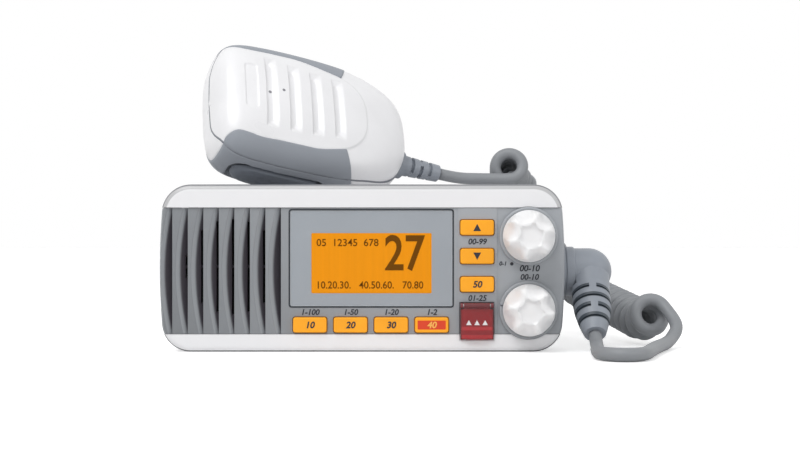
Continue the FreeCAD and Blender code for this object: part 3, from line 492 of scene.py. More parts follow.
def screen_finish(colour):
    """The lit amber display: even light with faint upright lines, darker at the low left edge."""
    shader = Shader("amber_screen", colour, 0.4)
    across, _, up = shader.case_place()
    lines = shader.noise(900.0, 1.0, (1.0, 1.0, 0.02))
    lit = shader.mix(lines, shade(colour, 0.95), shade(colour, 1.05))
    inner = across.smooth_step(-18.9, -18.2) * up.smooth_step(21.6, 22.6)
    lit = shader.mix(inner, shade(colour, 0.86), lit)
    shader.set("Base Color", lit)
    shader.set("Emission Color", lit)
    shader.set("Emission Strength", 0.06)
    shader.set("Specular IOR Level", 0.2)
    return shader


def panel_finish(colour):
    """Grey panel with painted shade: darker to the left and downward, and the scoops shaded by their
    depth.
    """
    shader = moulded("grey_case", colour, 0.48, relief=0.00003)
    across, deep, up = shader.case_place()
    # Painted shade: darker to the left and towards the bottom, where less light falls
    light_to_right = across.smooth_step(-85.0, 30.0)
    high = shader.mix(light_to_right, shade(colour, 0.58), shade(colour, 1.0))
    low = shader.mix(light_to_right, shade(colour, 0.48), shade(colour, 0.82))
    base = shader.mix(up.smooth_step(0.0, 60.0), low, high)
    base = shader.mix(shader.noise(55.0, 3.0) * 0.12, base, shade(colour, 1.1))
    grille = 1 - across.smooth_step(-28.4, -28.0)
    # Painted shade on the scoops' shallow slopes, a little darker than the flat panel
    ridge = deep.band(0.52, 1.9, 0.35) * grille
    base = shader.mix(ridge * 0.8, base, shade(colour, 0.84))
    # Painted shadow deep in the scoops, dark grey towards their steep walls
    base = shader.mix(deep.smooth_step(1.35, 2.1) * grille, base, (*srgb(64, 60, 67), 1.0))
    lugs = (1 - deep.smooth_step(-0.4, 0.0)) * (1 - across.smooth_step(50.0, 51.0))
    shader.set("Base Color", shader.mix(lugs, base, (*srgb(112, 50, 56), 1.0)))
    return shader


def bezel_finish(colour):
    """White front frame with painted shade on its upper rounding and a thin painted shade line where it
    turns back.
    """
    shader = moulded("bezel_white", colour, 0.32, coat=0.15)
    _, deep, up = shader.case_place()
    # Painted shade: the rounding darkens, most along the frame's top
    slope = deep.smooth_step(0.01, 0.12) * up.smooth_step(20.0, 55.0)
    base = shader.mix(slope, shade(colour, 1.0), shade(colour, 0.58))
    # Painted shade: a thin dark grey line just behind the rounding, where the frame turns back
    line = deep.band(0.75, 3.4, 0.4)
    shader.set("Base Color", shader.mix(line, base, (*srgb(96, 98, 104), 1.0)))
    return shader


# The boot's wide end and its direction, with the slots across it
BOOT_TOP = Vector((86.0, 14.06, 22.2))
BOOT_DIRECTION = Vector((0.0, -0.695, -0.719))
BOOT_SLOTS = 4
SLOT_START, SLOT_PITCH, SLOT_WIDTH = 2.4, 4.4, 2.1


def boot_finish(colour):
    """Moulded rubber with painted shade inside the boot's slots."""
    shader = moulded("boot_rubber", colour, 0.45)
    across, deep, up = shader.case_place()
    across, deep, up = across - BOOT_TOP.x, deep - BOOT_TOP.y, up - BOOT_TOP.z
    along = deep * BOOT_DIRECTION.y + up * BOOT_DIRECTION.z
    sideways = deep * BOOT_DIRECTION.z - up * BOOT_DIRECTION.y
    radius = (across * across + sideways * sideways).root()
    narrowing = (along - 6.0).larger(0.0)
    sunk = 7.2 - narrowing * narrowing * 0.0127 - radius
    # Painted shade: dark grey where the surface is sunk into the slots, and in bands along each slot
    dark = sunk.smooth_step(0.2, 0.6) * (1 - along.smooth_step(19.5, 20.5))
    beside_web = abs(across).smooth_step(1.2, 1.5)
    for number in range(BOOT_SLOTS):
        start = SLOT_START + SLOT_PITCH * number
        slot = along.band(start - 0.2, start + SLOT_WIDTH, 0.2)
        dark = dark.larger(slot if number % 2 else slot * beside_web)
    shader.set("Base Color", shader.mix(dark, shade(colour, 1.0), (*srgb(66, 74, 82), 1.0)))
    return shader


def key_finish(node, colour):
    """A lit amber cap with painted shade in dark brown round its edge."""
    shader = moulded(node + "_amber", colour, 0.35)
    low, high = case_box(node)
    across, _, up = shader.case_place()
    lit = shader.mix(shader.noise(120.0, 1.0), shade(colour, 0.92), shade(colour, 1.1))
    # Painted shade: a dark brown border round the cap, where the gap beside it lies
    beside = abs(across - (low.x + high.x) / 2 + 0.12) - (high.x - low.x) / 2
    above = abs(up - (low.z + high.z) / 2) - (high.z - low.z) / 2
    edge = beside.larger(above).smooth_step(-0.42, -0.08)
    shader.set("Base Color", shader.mix(edge, lit, (*srgb(98, 52, 10), 1.0)))
    shader.set("Emission Color", (*colour[:3], 1.0))
    shader.set("Emission Strength", 0.08)
    shader.set("Specular IOR Level", 0.3)
    return shader


FLAP_MIDDLE = 42.4


def red_clear_finish(colour):
    """The red flip cover: darker at its sides, with two painted highlights as lighter bands low down."""
    shader = Shader("red_clear", colour, 0.14, coat=0.3, alpha=0.93)
    across, _, up = shader.case_place()
    streak = shader.noise(160.0, 2.0)
    base = shader.mix(streak, shade(colour, 0.75), shade(colour, 1.15))
    # Painted highlights: two lighter red bands low on the cover
    highlight_bands = up.band(7.9, 9.5, 0.4) + up.band(4.9, 6.5, 0.4)
    base = shader.mix(highlight_bands * 0.9, base, (*srgb(190, 44, 50), 1.0))
    base = shader.mix(up.smooth_step(15.4, 16.4), base, (*srgb(112, 42, 48), 1.0))
    side = abs(across - FLAP_MIDDLE).smooth_step(5.3, 6.0)
    shader.set("Base Color", shader.mix(side, base, shade(colour, 0.45)))
    return shader


# Knobs

# Distance from the panel and radius, in millimetres, up to the rim
KNOB_PROFILE = [
    (0.0, 9.6), (1.2, 9.6), (1.5, 9.45), (6.0, 9.2), (9.6, 8.7), (10.8, 8.1), (11.4, 7.2),
]
# Distance from the rim and radius of the dished face
KNOB_DISH = [(0.15, 4.9), (-0.2, 4.5), (-0.55, 4.1), (-0.6, 2.0)]
KNOB_LOBES = 6
KNOB_ANGLES = {"volume": 47.0, "squelch": 20.0}
HOLLOWS_START = 1.5


def scalloped_radius(full, depth, hollow, turn):
    """The radius in this direction of a round outline with hollows of this depth."""
    period = 2 * math.pi / KNOB_LOBES
    off = (turn + period / 2) % period - period / 2
    reach = full + hollow - depth
    square = hollow ** 2 - (reach * math.sin(off)) ** 2
    if depth <= 0 or square < 0:
        return full
    return min(full, reach * math.cos(off) - math.sqrt(square))


def knob_mesh(name, centre, sizes, turn_offset):
    """A round cap whose rim has hollows that fade out towards the panel."""
    count = 144
    top, last = KNOB_PROFILE[-1]
    deepest = sizes.hollow_depth / MM
    rings = []
    for along, radius in KNOB_PROFILE:
        share = max(0.0, (along - HOLLOWS_START) / (top - HOLLOWS_START))
        rings.append((along, radius, deepest * share ** 0.8, 0.0))
    rings.append((top + KNOB_DISH[0][0], last, deepest, 0.8))
    rings += [(top + along, radius, 0.0, 0.0) for along, radius in KNOB_DISH]
    vertices = []
    for along, radius, depth, inset in rings:
        for number in range(count):
            turn = 2 * math.pi * number / count
            wide = scalloped_radius(radius, depth, sizes.hollow_radius / MM, turn) - inset
            out = turn + turn_offset
            vertices.append(centre + Vector((wide * math.cos(out), -along, wide * math.sin(out))) * MM)
    end = tuple(range(len(vertices) - count, len(vertices)))
    return make_mesh(name, vertices, ring_faces(len(rings), count) + [end], smooth=True)


class KnobSizes(PropertyGroup):
    """The volume and squelch knobs"""

    hollow_depth: length_setting("Hollow depth", "Depth of the rim's hollows", 0.0026)
    hollow_radius: length_setting("Hollow radius", "Roundness of the rim's hollows", 0.0042)
    colour: colour_setting("Colour", "Satin white", 246, 246, 247)


class RADIO_OT_knobs(Operator):
    """Make the two scalloped knobs"""

    bl_idname = "radio.knobs"
    bl_label = "Knobs"

    def execute(self, context):
        sizes = context.scene.radio_knobs
        finish = moulded("knob_white", sizes.colour, 0.35, coat=0.1)
        for name, angle in KNOB_ANGLES.items():
            low, high = case_box(name + "_knob")
            centre = at((low.x + high.x) / 2, high.y, (low.z + high.z) / 2)
            mesh = knob_mesh(name + "_cap", centre, sizes, math.radians(angle))
            knob = new_piece(name + "_cap", mesh, finish, name + "_dial")
            edges = knob.modifiers.new("edges", "BEVEL")
            edges.width = 0.0003
            edges.segments = 2
            edges.angle_limit = math.radians(40)
            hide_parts(name + "_knob")
        return {"FINISHED"}


# Microphone: u runs to the cord, v to the upper side and n out of the face, in millimetres

MIC_CENTRE = at(-24.6, 62.0, 87.5)
MIC_U = Vector((0.887, 0.422, -0.186)).normalized()
MIC_N = Vector((0.454, -0.725, 0.518))
MIC_N = (MIC_N - MIC_U * MIC_N.dot(MIC_U)).normalized()
MIC_V = MIC_N.cross(MIC_U)
MIC_FRAME = Matrix((MIC_U, MIC_V, MIC_N)).transposed()
# Place along u, half width and half thickness
MIC_SECTIONS = [
    (-42.0, 0.05, 0.05), (-41.9, 8.0, 4.5), (-41.5, 14.5, 7.8), (-40.6, 20.0, 10.5),
    (-38.4, 25.2, 13.4), (-33.0, 28.2, 15.6), (-20.0, 29.1, 16.5), (-4.0, 29.3, 16.7),
    (12.0, 28.7, 16.4), (24.0, 26.6, 15.4), (33.0, 22.8, 13.9), (38.6, 18.0, 11.8),
    (41.6, 11.5, 8.8), (42.4, 6.0, 4.8), (42.5, 0.05, 0.05),
]
MIC_POWER = 3.0
# Each groove's middle along u, and its low and high ends along v
GROOVES = [(-21.4, -16.6, 18.0), (-11.7, -16.8, 16.2), (-2.0, -16.2, 14.9), (7.8, -15.0, 14.4)]
GROOVE_HALF_WIDTH = 2.5
# Low and high ends along u, then along v
BADGE = (-32.6, -27.2, -9.1, 12.6)
SOUND_HOLES = [(-21.9, 0.8), (-16.6, 2.0)]
SOUND_HOLE_RADIUS = 0.65


def ease(value, low, high):
    """From 0 at low to 1 at high, smooth at both ends."""
    share = min(1.0, max(0.0, (value - low) / (high - low)))
    return share * share * (3 - 2 * share)


class MicSurface:
    """The microphone's outer surface, reached by u and the arc from the face's middle line."""

    def __init__(self):
        points = nurbs_points(MIC_SECTIONS, 8)
        self.along = np.array([point.x for point in points])
        self.widths = np.array([point.y for point in points])
        self.depths = np.array([point.z for point in points])
        self.kept = {}

    def outline(self, u):
        """Half a section from the face's middle to the back's middle, with its arc lengths."""
        key = round(u, 3)
        if key not in self.kept:
            turn = np.linspace(math.pi / 2, -math.pi / 2, 181)
            power = 2 / MIC_POWER
            wide = np.interp(u, self.along, self.widths) * np.abs(np.cos(turn)) ** power
            deep = np.interp(u, self.along, self.depths) * np.abs(np.sin(turn)) ** power
            deep *= np.sign(np.sin(turn))
            steps = np.hypot(np.diff(wide), np.diff(deep))
            self.kept[key] = wide, deep, np.concatenate([[0.0], np.cumsum(steps)])
        return self.kept[key]

    def point(self, u, arc):
        """A point at this signed arc: negative on the lower side."""
        wide, deep, lengths = self.outline(u)
        v = np.interp(abs(arc), lengths, wide)
        return Vector((u, math.copysign(v, arc), np.interp(abs(arc), lengths, deep)))

    def arc_at(self, u, n):
        """The arc where the side passes this height."""
        _, deep, lengths = self.outline(u)
        return float(np.interp(-n, -deep, lengths))

    def whole_arc(self, u):
        return float(self.outline(u)[2][-1])

    def out(self, u, arc):
        """The outward direction."""
        low, high = self.along[0], self.along[-1]
        along = self.point(min(u + 0.2, high), arc) - self.point(max(u - 0.2, low), arc)
        around = self.point(u, arc + 0.2) - self.point(u, arc - 0.2)
        normal = along.cross(around)
        return normal.normalized() if normal.length > 1e-9 else Vector((math.copysign(1.0, u), 0, 0))

    def lifted(self, u, arc, lift):
        return self.point(u, arc) + self.out(u, arc) * lift


def mic_place(point):
    return MIC_CENTRE + MIC_FRAME @ point * MM


def grid_mesh(name, rows):
    """A sheet of quads through rows of points in the microphone's frame."""
    width = len(rows[0])
    vertices = [mic_place(point) for row in rows for point in row]
    faces = []
    for row in range(len(rows) - 1):
        for column in range(width - 1):
            start = row * width + column
            faces.append((start, start + 1, start + width + 1, start + width))
    return make_mesh(name, vertices, faces, smooth=True)


def seam_height(u):
    """Where the face's shell meets the back's: low at the blunt end, higher along the sides."""
    back = min(1.0, max(0.0, (-36.5 - u) / 5.1))
    return 0.4 + 6.2 * (1 - back ** 4) - 3.6 * ease(u, 20.0, 40.0)


def groove_depth(u, v):
    """Four cross grooves: a steep left wall, a flat floor and a long right slope."""
    depth = 0.0
    for middle, low, high in GROOVES:
        across = u - middle
        inside = min(v - low, high - v)
        if abs(across) < GROOVE_HALF_WIDTH and inside > 0:
            end = min(1.0, inside / 4.0)
            left = min(1.0, (across + GROOVE_HALF_WIDTH) / 0.5)
            slope = 2.1 + 2.6 * (1 - end)
            right = min(1.0, (GROOVE_HALF_WIDTH - across) / slope)
            depth = max(depth, 1.5 * min(left, right, end * 1.6))
    return depth


def round_box_distance(x, y, box, corner):
    """How far outside a rectangle with round corners a point is: less than 0 inside it."""
    low_x, high_x, low_y, high_y = box
    beside = abs(x - (low_x + high_x) / 2) - (high_x - low_x) / 2 + corner
    above = abs(y - (low_y + high_y) / 2) - (high_y - low_y) / 2 + corner
    return math.hypot(max(beside, 0), max(above, 0)) + min(max(beside, above), 0) - corner


def badge_depth(u, v):
    """A bare shallow recess with round corners."""
    return 0.5 * (1 - ease(round_box_distance(u, v, BADGE, 1.3), -0.35, 0.0))


def panel_step(u, v):
    """The face stands a little above the part round it, with a round end to the cord."""
    if u < 2.0:
        return 0.0
    far = (abs(u + 5.7) / 26.0) ** 2.6 + (abs(v + 1.0) / 20.0) ** 2.6
    return 0.4 * ease(far, 0.97, 1.06) * ease(u, 2.0, 10.0) * (1 - ease(abs(v), 20.0, 27.0))


def round_corner(u, start, length, height):
    """How far a grip's edge draws in beyond start, as a quarter of an ellipse."""
    share = max(0.0, (start - u) / length)
    return height * (1 - math.sqrt(max(0.0, 1 - share ** 2)))


def lower_grip_edge(u):
    """The arc where the lower grip begins at this u."""
    face_edge = 19.6 + 1.9 * ease(u, -36.0, -24.0) - 3.0 * ease(u, -4.0, 14.0)
    return face_edge + round_corner(u, -34.6, 4.7, 5.0)


def upper_grip_edge(u):
    """The arc where the upper grip begins at this u."""
    return 21.6 - 4.6 * ease(u, -12.0, 12.0) + round_corner(u, -27.0, 12.4, 9.0)


GRIP_LEFT = -39.2
GRIP_BACK = 56.0
# By side: the edge near the face, where the right end starts and how it slants
GRIPS = {-1: (lower_grip_edge, 10.6, 0.42), 1: (upper_grip_edge, 10.4, 0.45)}
SHELL_SUNK = 5.0
GRIP_RIM = 0.5
# Low and high ends along u, then along n
TALK_BUTTON = (-32.8, 6.0, -9.5, 2.4)
TALK_CORNER = 4.4
TALK_INSET = 0.2
TALK_POCKET = 4.2


def grip_cover(u, arc):
    """1 where a grip covers the shell, so that the shell can lie deeper there."""
    edge, right, slant = GRIPS[-1 if arc < 0 else 1]
    low, span = edge(u), abs(arc)
    end = right + (span - low) * slant
    around = ease(span, low + 0.5, low + 1.1) * (1 - ease(span, GRIP_BACK - 1.1, GRIP_BACK - 0.5))
    return around * ease(u, GRIP_LEFT + 0.5, GRIP_LEFT + 1.1) * (1 - ease(u, end - 1.1, end - 0.5))


def shell_point(surface, u, arc, on_face):
    place = surface.point(u, arc)
    sink = SHELL_SUNK * grip_cover(u, arc)
    if on_face:
        sink += groove_depth(u, place.y) + badge_depth(u, place.y) + panel_step(u, place.y)
    return surface.lifted(u, arc, -sink)


def shell_rows(surface):
    """Places along u: close together over the face, and at the profile's own points at the ends."""
    low, high, pitch = -38.5, 38.0, 0.3
    ends = [float(u) for u in surface.along if u < low or u > high]
    steps = round((high - low) / pitch)
    middle = [low + (high - low) * number / steps for number in range(steps + 1)]
    return sorted(set(ends + middle))


def seam_arc(surface, u, above=0.0, beyond=0.0):
    """The arc of the joint between the shells, kept below the face where the ends are thin."""
    limit = surface.outline(u)[1][0] * 0.6
    return surface.arc_at(u, min(seam_height(u) + above, limit) + beyond)


SHELL_GAP = 0.2
SHELL_TURNED_IN = 1.4


def face_shell(surface):
    rows = []
    columns = 150
    for u in shell_rows(surface):
        edge = seam_arc(surface, u, SHELL_GAP)
        row = [surface.lifted(u, -edge, -SHELL_TURNED_IN)]
        for column in range(columns + 1):
            row.append(shell_point(surface, u, edge * (2 * column / columns - 1), True))
        row.append(surface.lifted(u, edge, -SHELL_TURNED_IN))
        rows.append(row)
    return grid_mesh("mic_face", rows)


def back_shell(surface):
    rows = []
    columns = 70
    for u in shell_rows(surface)[::2]:
        edge = seam_arc(surface, u, -SHELL_GAP)
        arcs = [edge + (surface.whole_arc(u) - edge) * column / columns for column in range(columns + 1)]
        row = [surface.lifted(u, edge, -SHELL_TURNED_IN)]
        row += [shell_point(surface, u, arc, False) for arc in arcs]
        row += [shell_point(surface, u, -arc, False) for arc in arcs[::-1]]
        row.append(surface.lifted(u, -edge, -SHELL_TURNED_IN))
        rows.append(row)
    return grid_mesh("mic_back", rows)


def seam_band(surface, side):
    """The dark line between the two shells."""
    rows = []
    for u in shell_rows(surface)[::3]:
        row = []
        for offset, lift in ((-0.5, -0.4), (-0.38, 0.05), (0.38, 0.05), (0.5, -0.4)):
            row.append(surface.lifted(u, seam_arc(surface, u, beyond=offset) * side, lift))
        rows.append(row)
    return grid_mesh("mic_seam", rows)


def grip_mesh(name, surface, side):
    """A soft grip on the shell with a rounded edge, and in the lower one the button's pocket."""
    edge, right, slant = GRIPS[side]
    rows, columns = 110, 130
    made = []
    for row in range(rows + 1):
        points = []
        for column in range(columns + 1):
            along = column / columns
            low = edge(GRIP_LEFT + (right - GRIP_LEFT) * along)
            end = right + (GRIP_BACK - low) * row / rows * slant
            u = GRIP_LEFT + (end - GRIP_LEFT) * along
            low = edge(u)
            arc = low + (GRIP_BACK - low) * row / rows
            border = min(arc - low, GRIP_BACK - arc, u - GRIP_LEFT, end - u)
            lift = -0.35 + 0.6 * math.sqrt(min(1.0, max(0.0, border / GRIP_RIM)))
            place = surface.point(u, arc * side)
            if side < 0:
                outside = round_box_distance(u, place.z, TALK_BUTTON, TALK_CORNER)
                lift -= TALK_POCKET * (1 - ease(outside, 0.7, 0.9))
            seam = abs(place.z - seam_height(u))
            lift -= 0.3 * (1 - ease(seam, 0.15, 0.4))
            points.append(surface.lifted(u, arc * side, lift))
        made.append(points)
    return grid_mesh(name, made)


def button_mesh(surface):
    """The push-to-talk button: a long pad with cross ridges that follows the lower side."""
    low_u, high_u, low_n, high_n = TALK_BUTTON
    rings, count = 14, 120
    middle = Vector(((low_u + high_u) / 2, (low_n + high_n) / 2))
    half = Vector(((high_u - low_u) / 2 - TALK_INSET, (high_n - low_n) / 2 - TALK_INSET))
    rows = []
    for ring in range(rings + 1):
        share = ring / rings
        row = []
        for number in range(count + 1):
            turn = 2 * math.pi * number / count
            cosine, sine = math.cos(turn), math.sin(turn)
            edge = Vector((math.copysign(abs(cosine) ** 0.45, cosine) * half.x,
                           math.copysign(abs(sine) ** 0.75, sine) * half.y))
            flat = middle + edge * min(1.0, 1.02 * share)
            rim = ease(1 - share, 0.0, 0.12)
            ridge = 0.25 * ease(math.cos(flat.x * 1.6), 0.3, 0.9) * ease(0.7 - share, 0.0, 0.2)
            lift = -1.0 + 1.75 * rim + ridge
            row.append(surface.lifted(flat.x, -surface.arc_at(flat.x, flat.y), lift))
        rows.append(row)
    return grid_mesh("mic_talk_button", rows)


def disc_mesh(surface, name, u, v):
    """A small disc in the grey of the shade inside a hole, drawn just above the floor it is in."""
    count = 24
    rim = []
    for number in range(count):
        turn = 2 * math.pi * number / count
        arc = v + SOUND_HOLE_RADIUS * math.sin(turn)
        place = surface.point(u + SOUND_HOLE_RADIUS * math.cos(turn), arc)
        rim.append(place - Vector((0, 0, groove_depth(place.x, place.y) - 0.06)))
    return make_mesh(name, [mic_place(point) for point in rim], [tuple(range(count))])


class MicrophoneColours(PropertyGroup):
    """The microphone's finishes"""

    white: colour_setting("White", "Satin white shells", 240, 240, 242)
    grip: colour_setting("Grip", "Soft-touch grips", 150, 155, 163)
    button: colour_setting("Button", "Push-to-talk button", 116, 122, 132)


class RADIO_OT_microphone(Operator):
    """Make the microphone's shells, grips, seam and push-to-talk button"""

    bl_idname = "radio.microphone"
    bl_label = "Microphone"

    def execute(self, context):
        colours = context.scene.radio_microphone
        surface = MicSurface()
        white = moulded("mic_white", colours.white, 0.3, coat=0.15)
        grip = moulded("mic_grip", colours.grip, 0.55, 5000.0, 0.00004)
        button = moulded("mic_button", colours.button, 0.5, 5000.0, 0.00004)
        dark = moulded("mic_joint", srgb(128, 131, 138), 0.6)
        # Painted shade: the grey of the shade inside the sound holes
        hole = moulded("mic_hole", srgb(140, 140, 146), 0.7)
        face = new_piece("mic_face", face_shell(surface), white, "microphone")
        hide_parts("mic_front_shell")
        back = new_piece("mic_back", back_shell(surface), white, "microphone")
        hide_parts("mic_back_shell")
        for name, side in (("lower", -1), ("upper", 1)):
            new_piece("mic_seam_" + name, seam_band(surface, side), dark, "microphone")
        for name, side in (("lower", -1), ("upper", 1)):
            mesh = grip_mesh("mic_grip_" + name, surface, side)
            pad = new_piece("mic_grip_" + name, mesh, grip, "microphone")
            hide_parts("mic_%s_grip" % name)
        talk = new_piece("mic_talk_button", button_mesh(surface), button, "push_to_talk")
        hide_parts("mic_ptt_button")
        for number, (u, v) in enumerate(SOUND_HOLES, 1):
            name = "mic_sound_hole_%d" % number
            new_piece(name, disc_mesh(surface, name, u, v), hole, "microphone")
        return {"FINISHED"}


# Marks: plain numbers and arrows on the panel, the keys and the display

class MarkColours(PropertyGroup):
    """Printed marks"""

    print_dark: colour_setting("Print", "Print on the panel and keys", 38, 40, 48)
    digits: colour_setting("Digits", "Digits of the display", 112, 68, 4)
    red: colour_setting("Red", "Inset of the fourth key", 226, 66, 26)


# Font size for a number one unit high
FONT_SIZE = 1.4
MARK_THICKNESS = 0.04


def number_mark(name, text, x, z, height, y, shader, body, slant, bold, squeeze=1.0):
    """A plain number, centred at x and z and facing the front."""
    curve = bpy.data.curves.new(name, "FONT")
    curve.body = text
    curve.align_x, curve.align_y = "CENTER", "CENTER"
    curve.size = height * MM * FONT_SIZE
    curve.shear = slant
    curve.offset = bold * MM
    curve.extrude = MARK_THICKNESS / 2 * MM
    curve.resolution_u = 4
    holder = bpy.data.objects.new(name, curve)
    mesh = bpy.data.meshes.new_from_object(holder)
    bpy.data.objects.remove(holder)
    bpy.data.curves.remove(curve)
    mesh.materials.clear()
    stand_up = Matrix.Translation(at(x, y, z)) @ Matrix.Rotation(math.pi / 2, 4, "X")
    mesh.transform(stand_up @ Matrix.Diagonal((squeeze, 1.0, 1.0, 1.0)))
    return new_piece(name, mesh, shader, body)


def joining_faces(count):
    """Quads between two outlines of this many points each."""
    return [(number, number + count, (number + 1) % count + count, (number + 1) % count)
            for number in range(count)]


def flat_mark(name, points, y, shader, body="root"):
    """A flat shape through these x and z places, facing the front, with a little thickness."""
    count = len(points)
    places = [at(x, deep, z) for deep in (y, y + MARK_THICKNESS) for x, z in points]
    mesh = make_mesh(name, places, [tuple(range(count)), *joining_faces(count)])
    return new_piece(name, mesh, shader, body)


def round_box(left, right, bottom, top, radius):
    """The outline of a rectangle with round corners."""
    steps = 5
    low_x, high_x, low_z, high_z = left + radius, right - radius, bottom + radius, top - radius
    centres = [(high_x, high_z), (low_x, high_z), (low_x, low_z), (high_x, low_z)]
    points = []
    for quarter, (x, z) in enumerate(centres):
        for step in range(steps + 1):
            turn = (quarter + step / steps) * math.pi / 2
            points.append((x + radius * math.cos(turn), z + radius * math.sin(turn)))
    return points


def outline_mark(name, outer, inner, y, shader):
    """A thin line between two outlines of as many points."""
    places = [at(x, y, z) for x, z in outer + inner]
    return new_piece(name, make_mesh(name, places, joining_faces(len(outer))), shader)


def triangle(x, z, half_width, half_height):
    """An arrow's corners. It points down when its height is negative."""
    base = z - half_height
    corners = [(x - half_width, base), (x + half_width, base), (x, z + half_height)]
    return corners if half_height > 0 else corners[::-1]


def key_middle(node):
    low, high = case_box(node)
    return (low.x + high.x) / 2, (low.z + high.z) / 2


# How far into the case the marks on each surface lie
KEY_FACE = -0.83
PANEL_FACE = 0.44
STRIP_FACE = 0.14
PRINT_FACE = 0.76
SCREEN_FACE = 0.72
FLAP_FACE = -1.14
SLANT = 0.2
# Left, right, bottom and top, with the corner radius of the dot
SCREEN = (-18.8, 25.7, 21.65, 43.95)
PANEL_DOT = (54.7, 56.0, 31.9, 33.2, 0.64)
KEY_NUMBERS = {"key_call": "10", "key_weather": "20", "key_clear": "30", "key_priority": "40",
               "key_enter": "50"}
KEY_ARROWS = {"key_channel_up": 1, "key_channel_down": -1}
# Text, place across and up, height and surface
PANEL_NUMBERS = [
    ("1-100", -19.3, 14.6, 2.1, PANEL_FACE), ("1-50", -4.3, 14.6, 2.1, PANEL_FACE),
    ("1-20", 10.7, 14.6, 2.1, PANEL_FACE), ("1-2", 25.7, 14.6, 2.1, PANEL_FACE),
    ("00-99", 42.5, 40.7, 2.1, STRIP_FACE), ("01-25", 42.5, 19.8, 2.1, STRIP_FACE),
    ("0-1", 52.0, 32.6, 1.5, PANEL_FACE), ("00-10", 61.8, 30.8, 2.3, PANEL_FACE),
    ("00-10", 61.8, 27.6, 2.1, PANEL_FACE),
]
# Text, place across and up, height, thickening and share of the full width
DISPLAY_NUMBERS = {
    "display_channel": ("27", 15.6, 35.9, 13.0, 0.26, 0.82),
    "display_upper_row": ("05  12345  678", -5.4, 40.3, 2.7, 0.02, 1.0),
    "display_lower_row": ("10.20.30.   40.50.60.   70.80", 2.8, 24.6, 2.7, 0.02, 0.94),
}


class RADIO_OT_marks(Operator):
    """Print plain numbers and arrows on the keys, the panel and the display"""

    bl_idname = "radio.marks"
    bl_label = "Marks"

    def execute(self, context):
        colours = context.scene.radio_marks
        ink = moulded("print_dark", colours.print_dark, 0.5)
        red = moulded("inset_red", colours.red, 0.45)
        white = moulded("print_white", srgb(240, 238, 238), 0.5)
        digit = moulded("display_digits", colours.digits, 0.5)
        digit.set("Specular IOR Level", 0.1)
        amber = moulded("print_amber", srgb(255, 190, 90), 0.5)
        for node, text in KEY_NUMBERS.items():
            x, z = key_middle(node)
            shader = ink
            if node == "key_priority":
                inset = round_box(x - 5.2, x + 5.2, z - 1.65, z + 1.65, 0.3)
                flat_mark(node + "_inset", inset, KEY_FACE, red, node + "_button")
                shader = amber
            number_mark(node + "_number", text, x, z - 0.1, 2.4, KEY_FACE - 0.05, shader,
                        node + "_button", SLANT, 0.09)
        for node, way in KEY_ARROWS.items():
            arrow = triangle(*key_middle(node), 1.45, 1.35 * way)
            flat_mark(node + "_arrow", arrow, KEY_FACE, ink, node + "_button")
        for number, (text, x, z, height, y) in enumerate(PANEL_NUMBERS, 1):
            number_mark("panel_number_%d" % number, text, x, z, height, y, ink, "root", SLANT, 0.07)
        flat_mark("panel_dot", round_box(*PANEL_DOT), PANEL_FACE, ink)
        for name, (text, x, z, height, bold, squeeze) in DISPLAY_NUMBERS.items():
            number_mark(name, text, x, z, height, SCREEN_FACE, digit, "root", 0.0, bold, squeeze)
        for number in (1, 2, 3):
            arrow = triangle(FLAP_MIDDLE + (number - 2) * 3.0, 10.9, 1.0, 0.9)
            flat_mark("distress_arrow_%d" % number, arrow, FLAP_FACE, white, "distress_flap")
        return {"FINISHED"}


class WindowColours(PropertyGroup):
    """The display window's surround"""

    joint: colour_setting("Joint", "Dark joint round the window", 58, 62, 68)
    # Painted highlight: the light ring stands for light caught on the window's bevel
    bevel: colour_setting("Bevel", "Light bevel inside the joint", 176, 182, 188)
    surround: colour_setting("Surround", "Print round the screen", 160, 166, 173)


class RADIO_OT_window(Operator):
    """Make the display window's joint, bevel, print and lit face"""

    bl_idname = "radio.window"
    bl_label = "Window"

    def execute(self, context):
        colours = context.scene.radio_window
        dark = moulded("window_joint", colours.joint, 0.6)
        light = moulded("window_bevel", colours.bevel, 0.4)
        printed = moulded("window_print", colours.surround, 0.3, coat=0.3)
        lit = screen_finish(context.scene.radio_colours.screen)
        low, high = case_box("display_lens")

        def ring(grow, radius):
            return round_box(low.x - grow, high.x + grow, low.z - grow, high.z + grow, radius)

        outline_mark("window_joint", ring(0.35, 1.2), ring(-0.05, 0.9), PANEL_FACE, dark)
        # Painted highlight: a light ring where the window's bevel catches the light
        outline_mark("window_bevel", ring(-0.25, 0.7), ring(-0.6, 0.5), SCREEN_FACE, light)
        outline_mark("window_print", ring(-0.55, 0.5), round_box(*SCREEN, 0.5), PRINT_FACE, printed)
        left, right, bottom, top = SCREEN
        face = round_box(left - 0.2, right + 0.2, bottom - 0.2, top + 0.2, 0.5)
        flat_mark("display_face", face, PRINT_FACE + 0.03, lit)
        return {"FINISHED"}


# Stage

WHITE = (1.0, 1.0, 1.0)
FLOOR_HALF = 6.0
FLOOR_GLOW = 0.46
WORLD_LIGHT = 0.44
# Name, place, aimed at, width, height and watts of each light
LIGHTS = [
    ("top_light", (-0.35, -0.55, 0.95), (0.0, 0.0, 0.03), 0.8, 0.6, 7.0),
    ("right_light", (0.9, -0.5, 0.4), (0.0, 0.0, 0.04), 0.5, 0.5, 1.6),
]


class StageSizes(PropertyGroup):
    """Camera, floor and lights"""

    distance: length_setting("Distance", "From the camera to the case's front", 0.6)
    across: length_setting("Across", "The camera's place right of the case's middle", 0.014)
    height: length_setting("Height", "The camera's height", 0.0423)
    lens: FloatProperty(name="Lens", description="Focal length in millimetres", default=73.08)
    floor: FloatVectorProperty(name="Floor", description="Floor colour", subtype="COLOR",
                               default=(0.9, 0.9, 0.9))


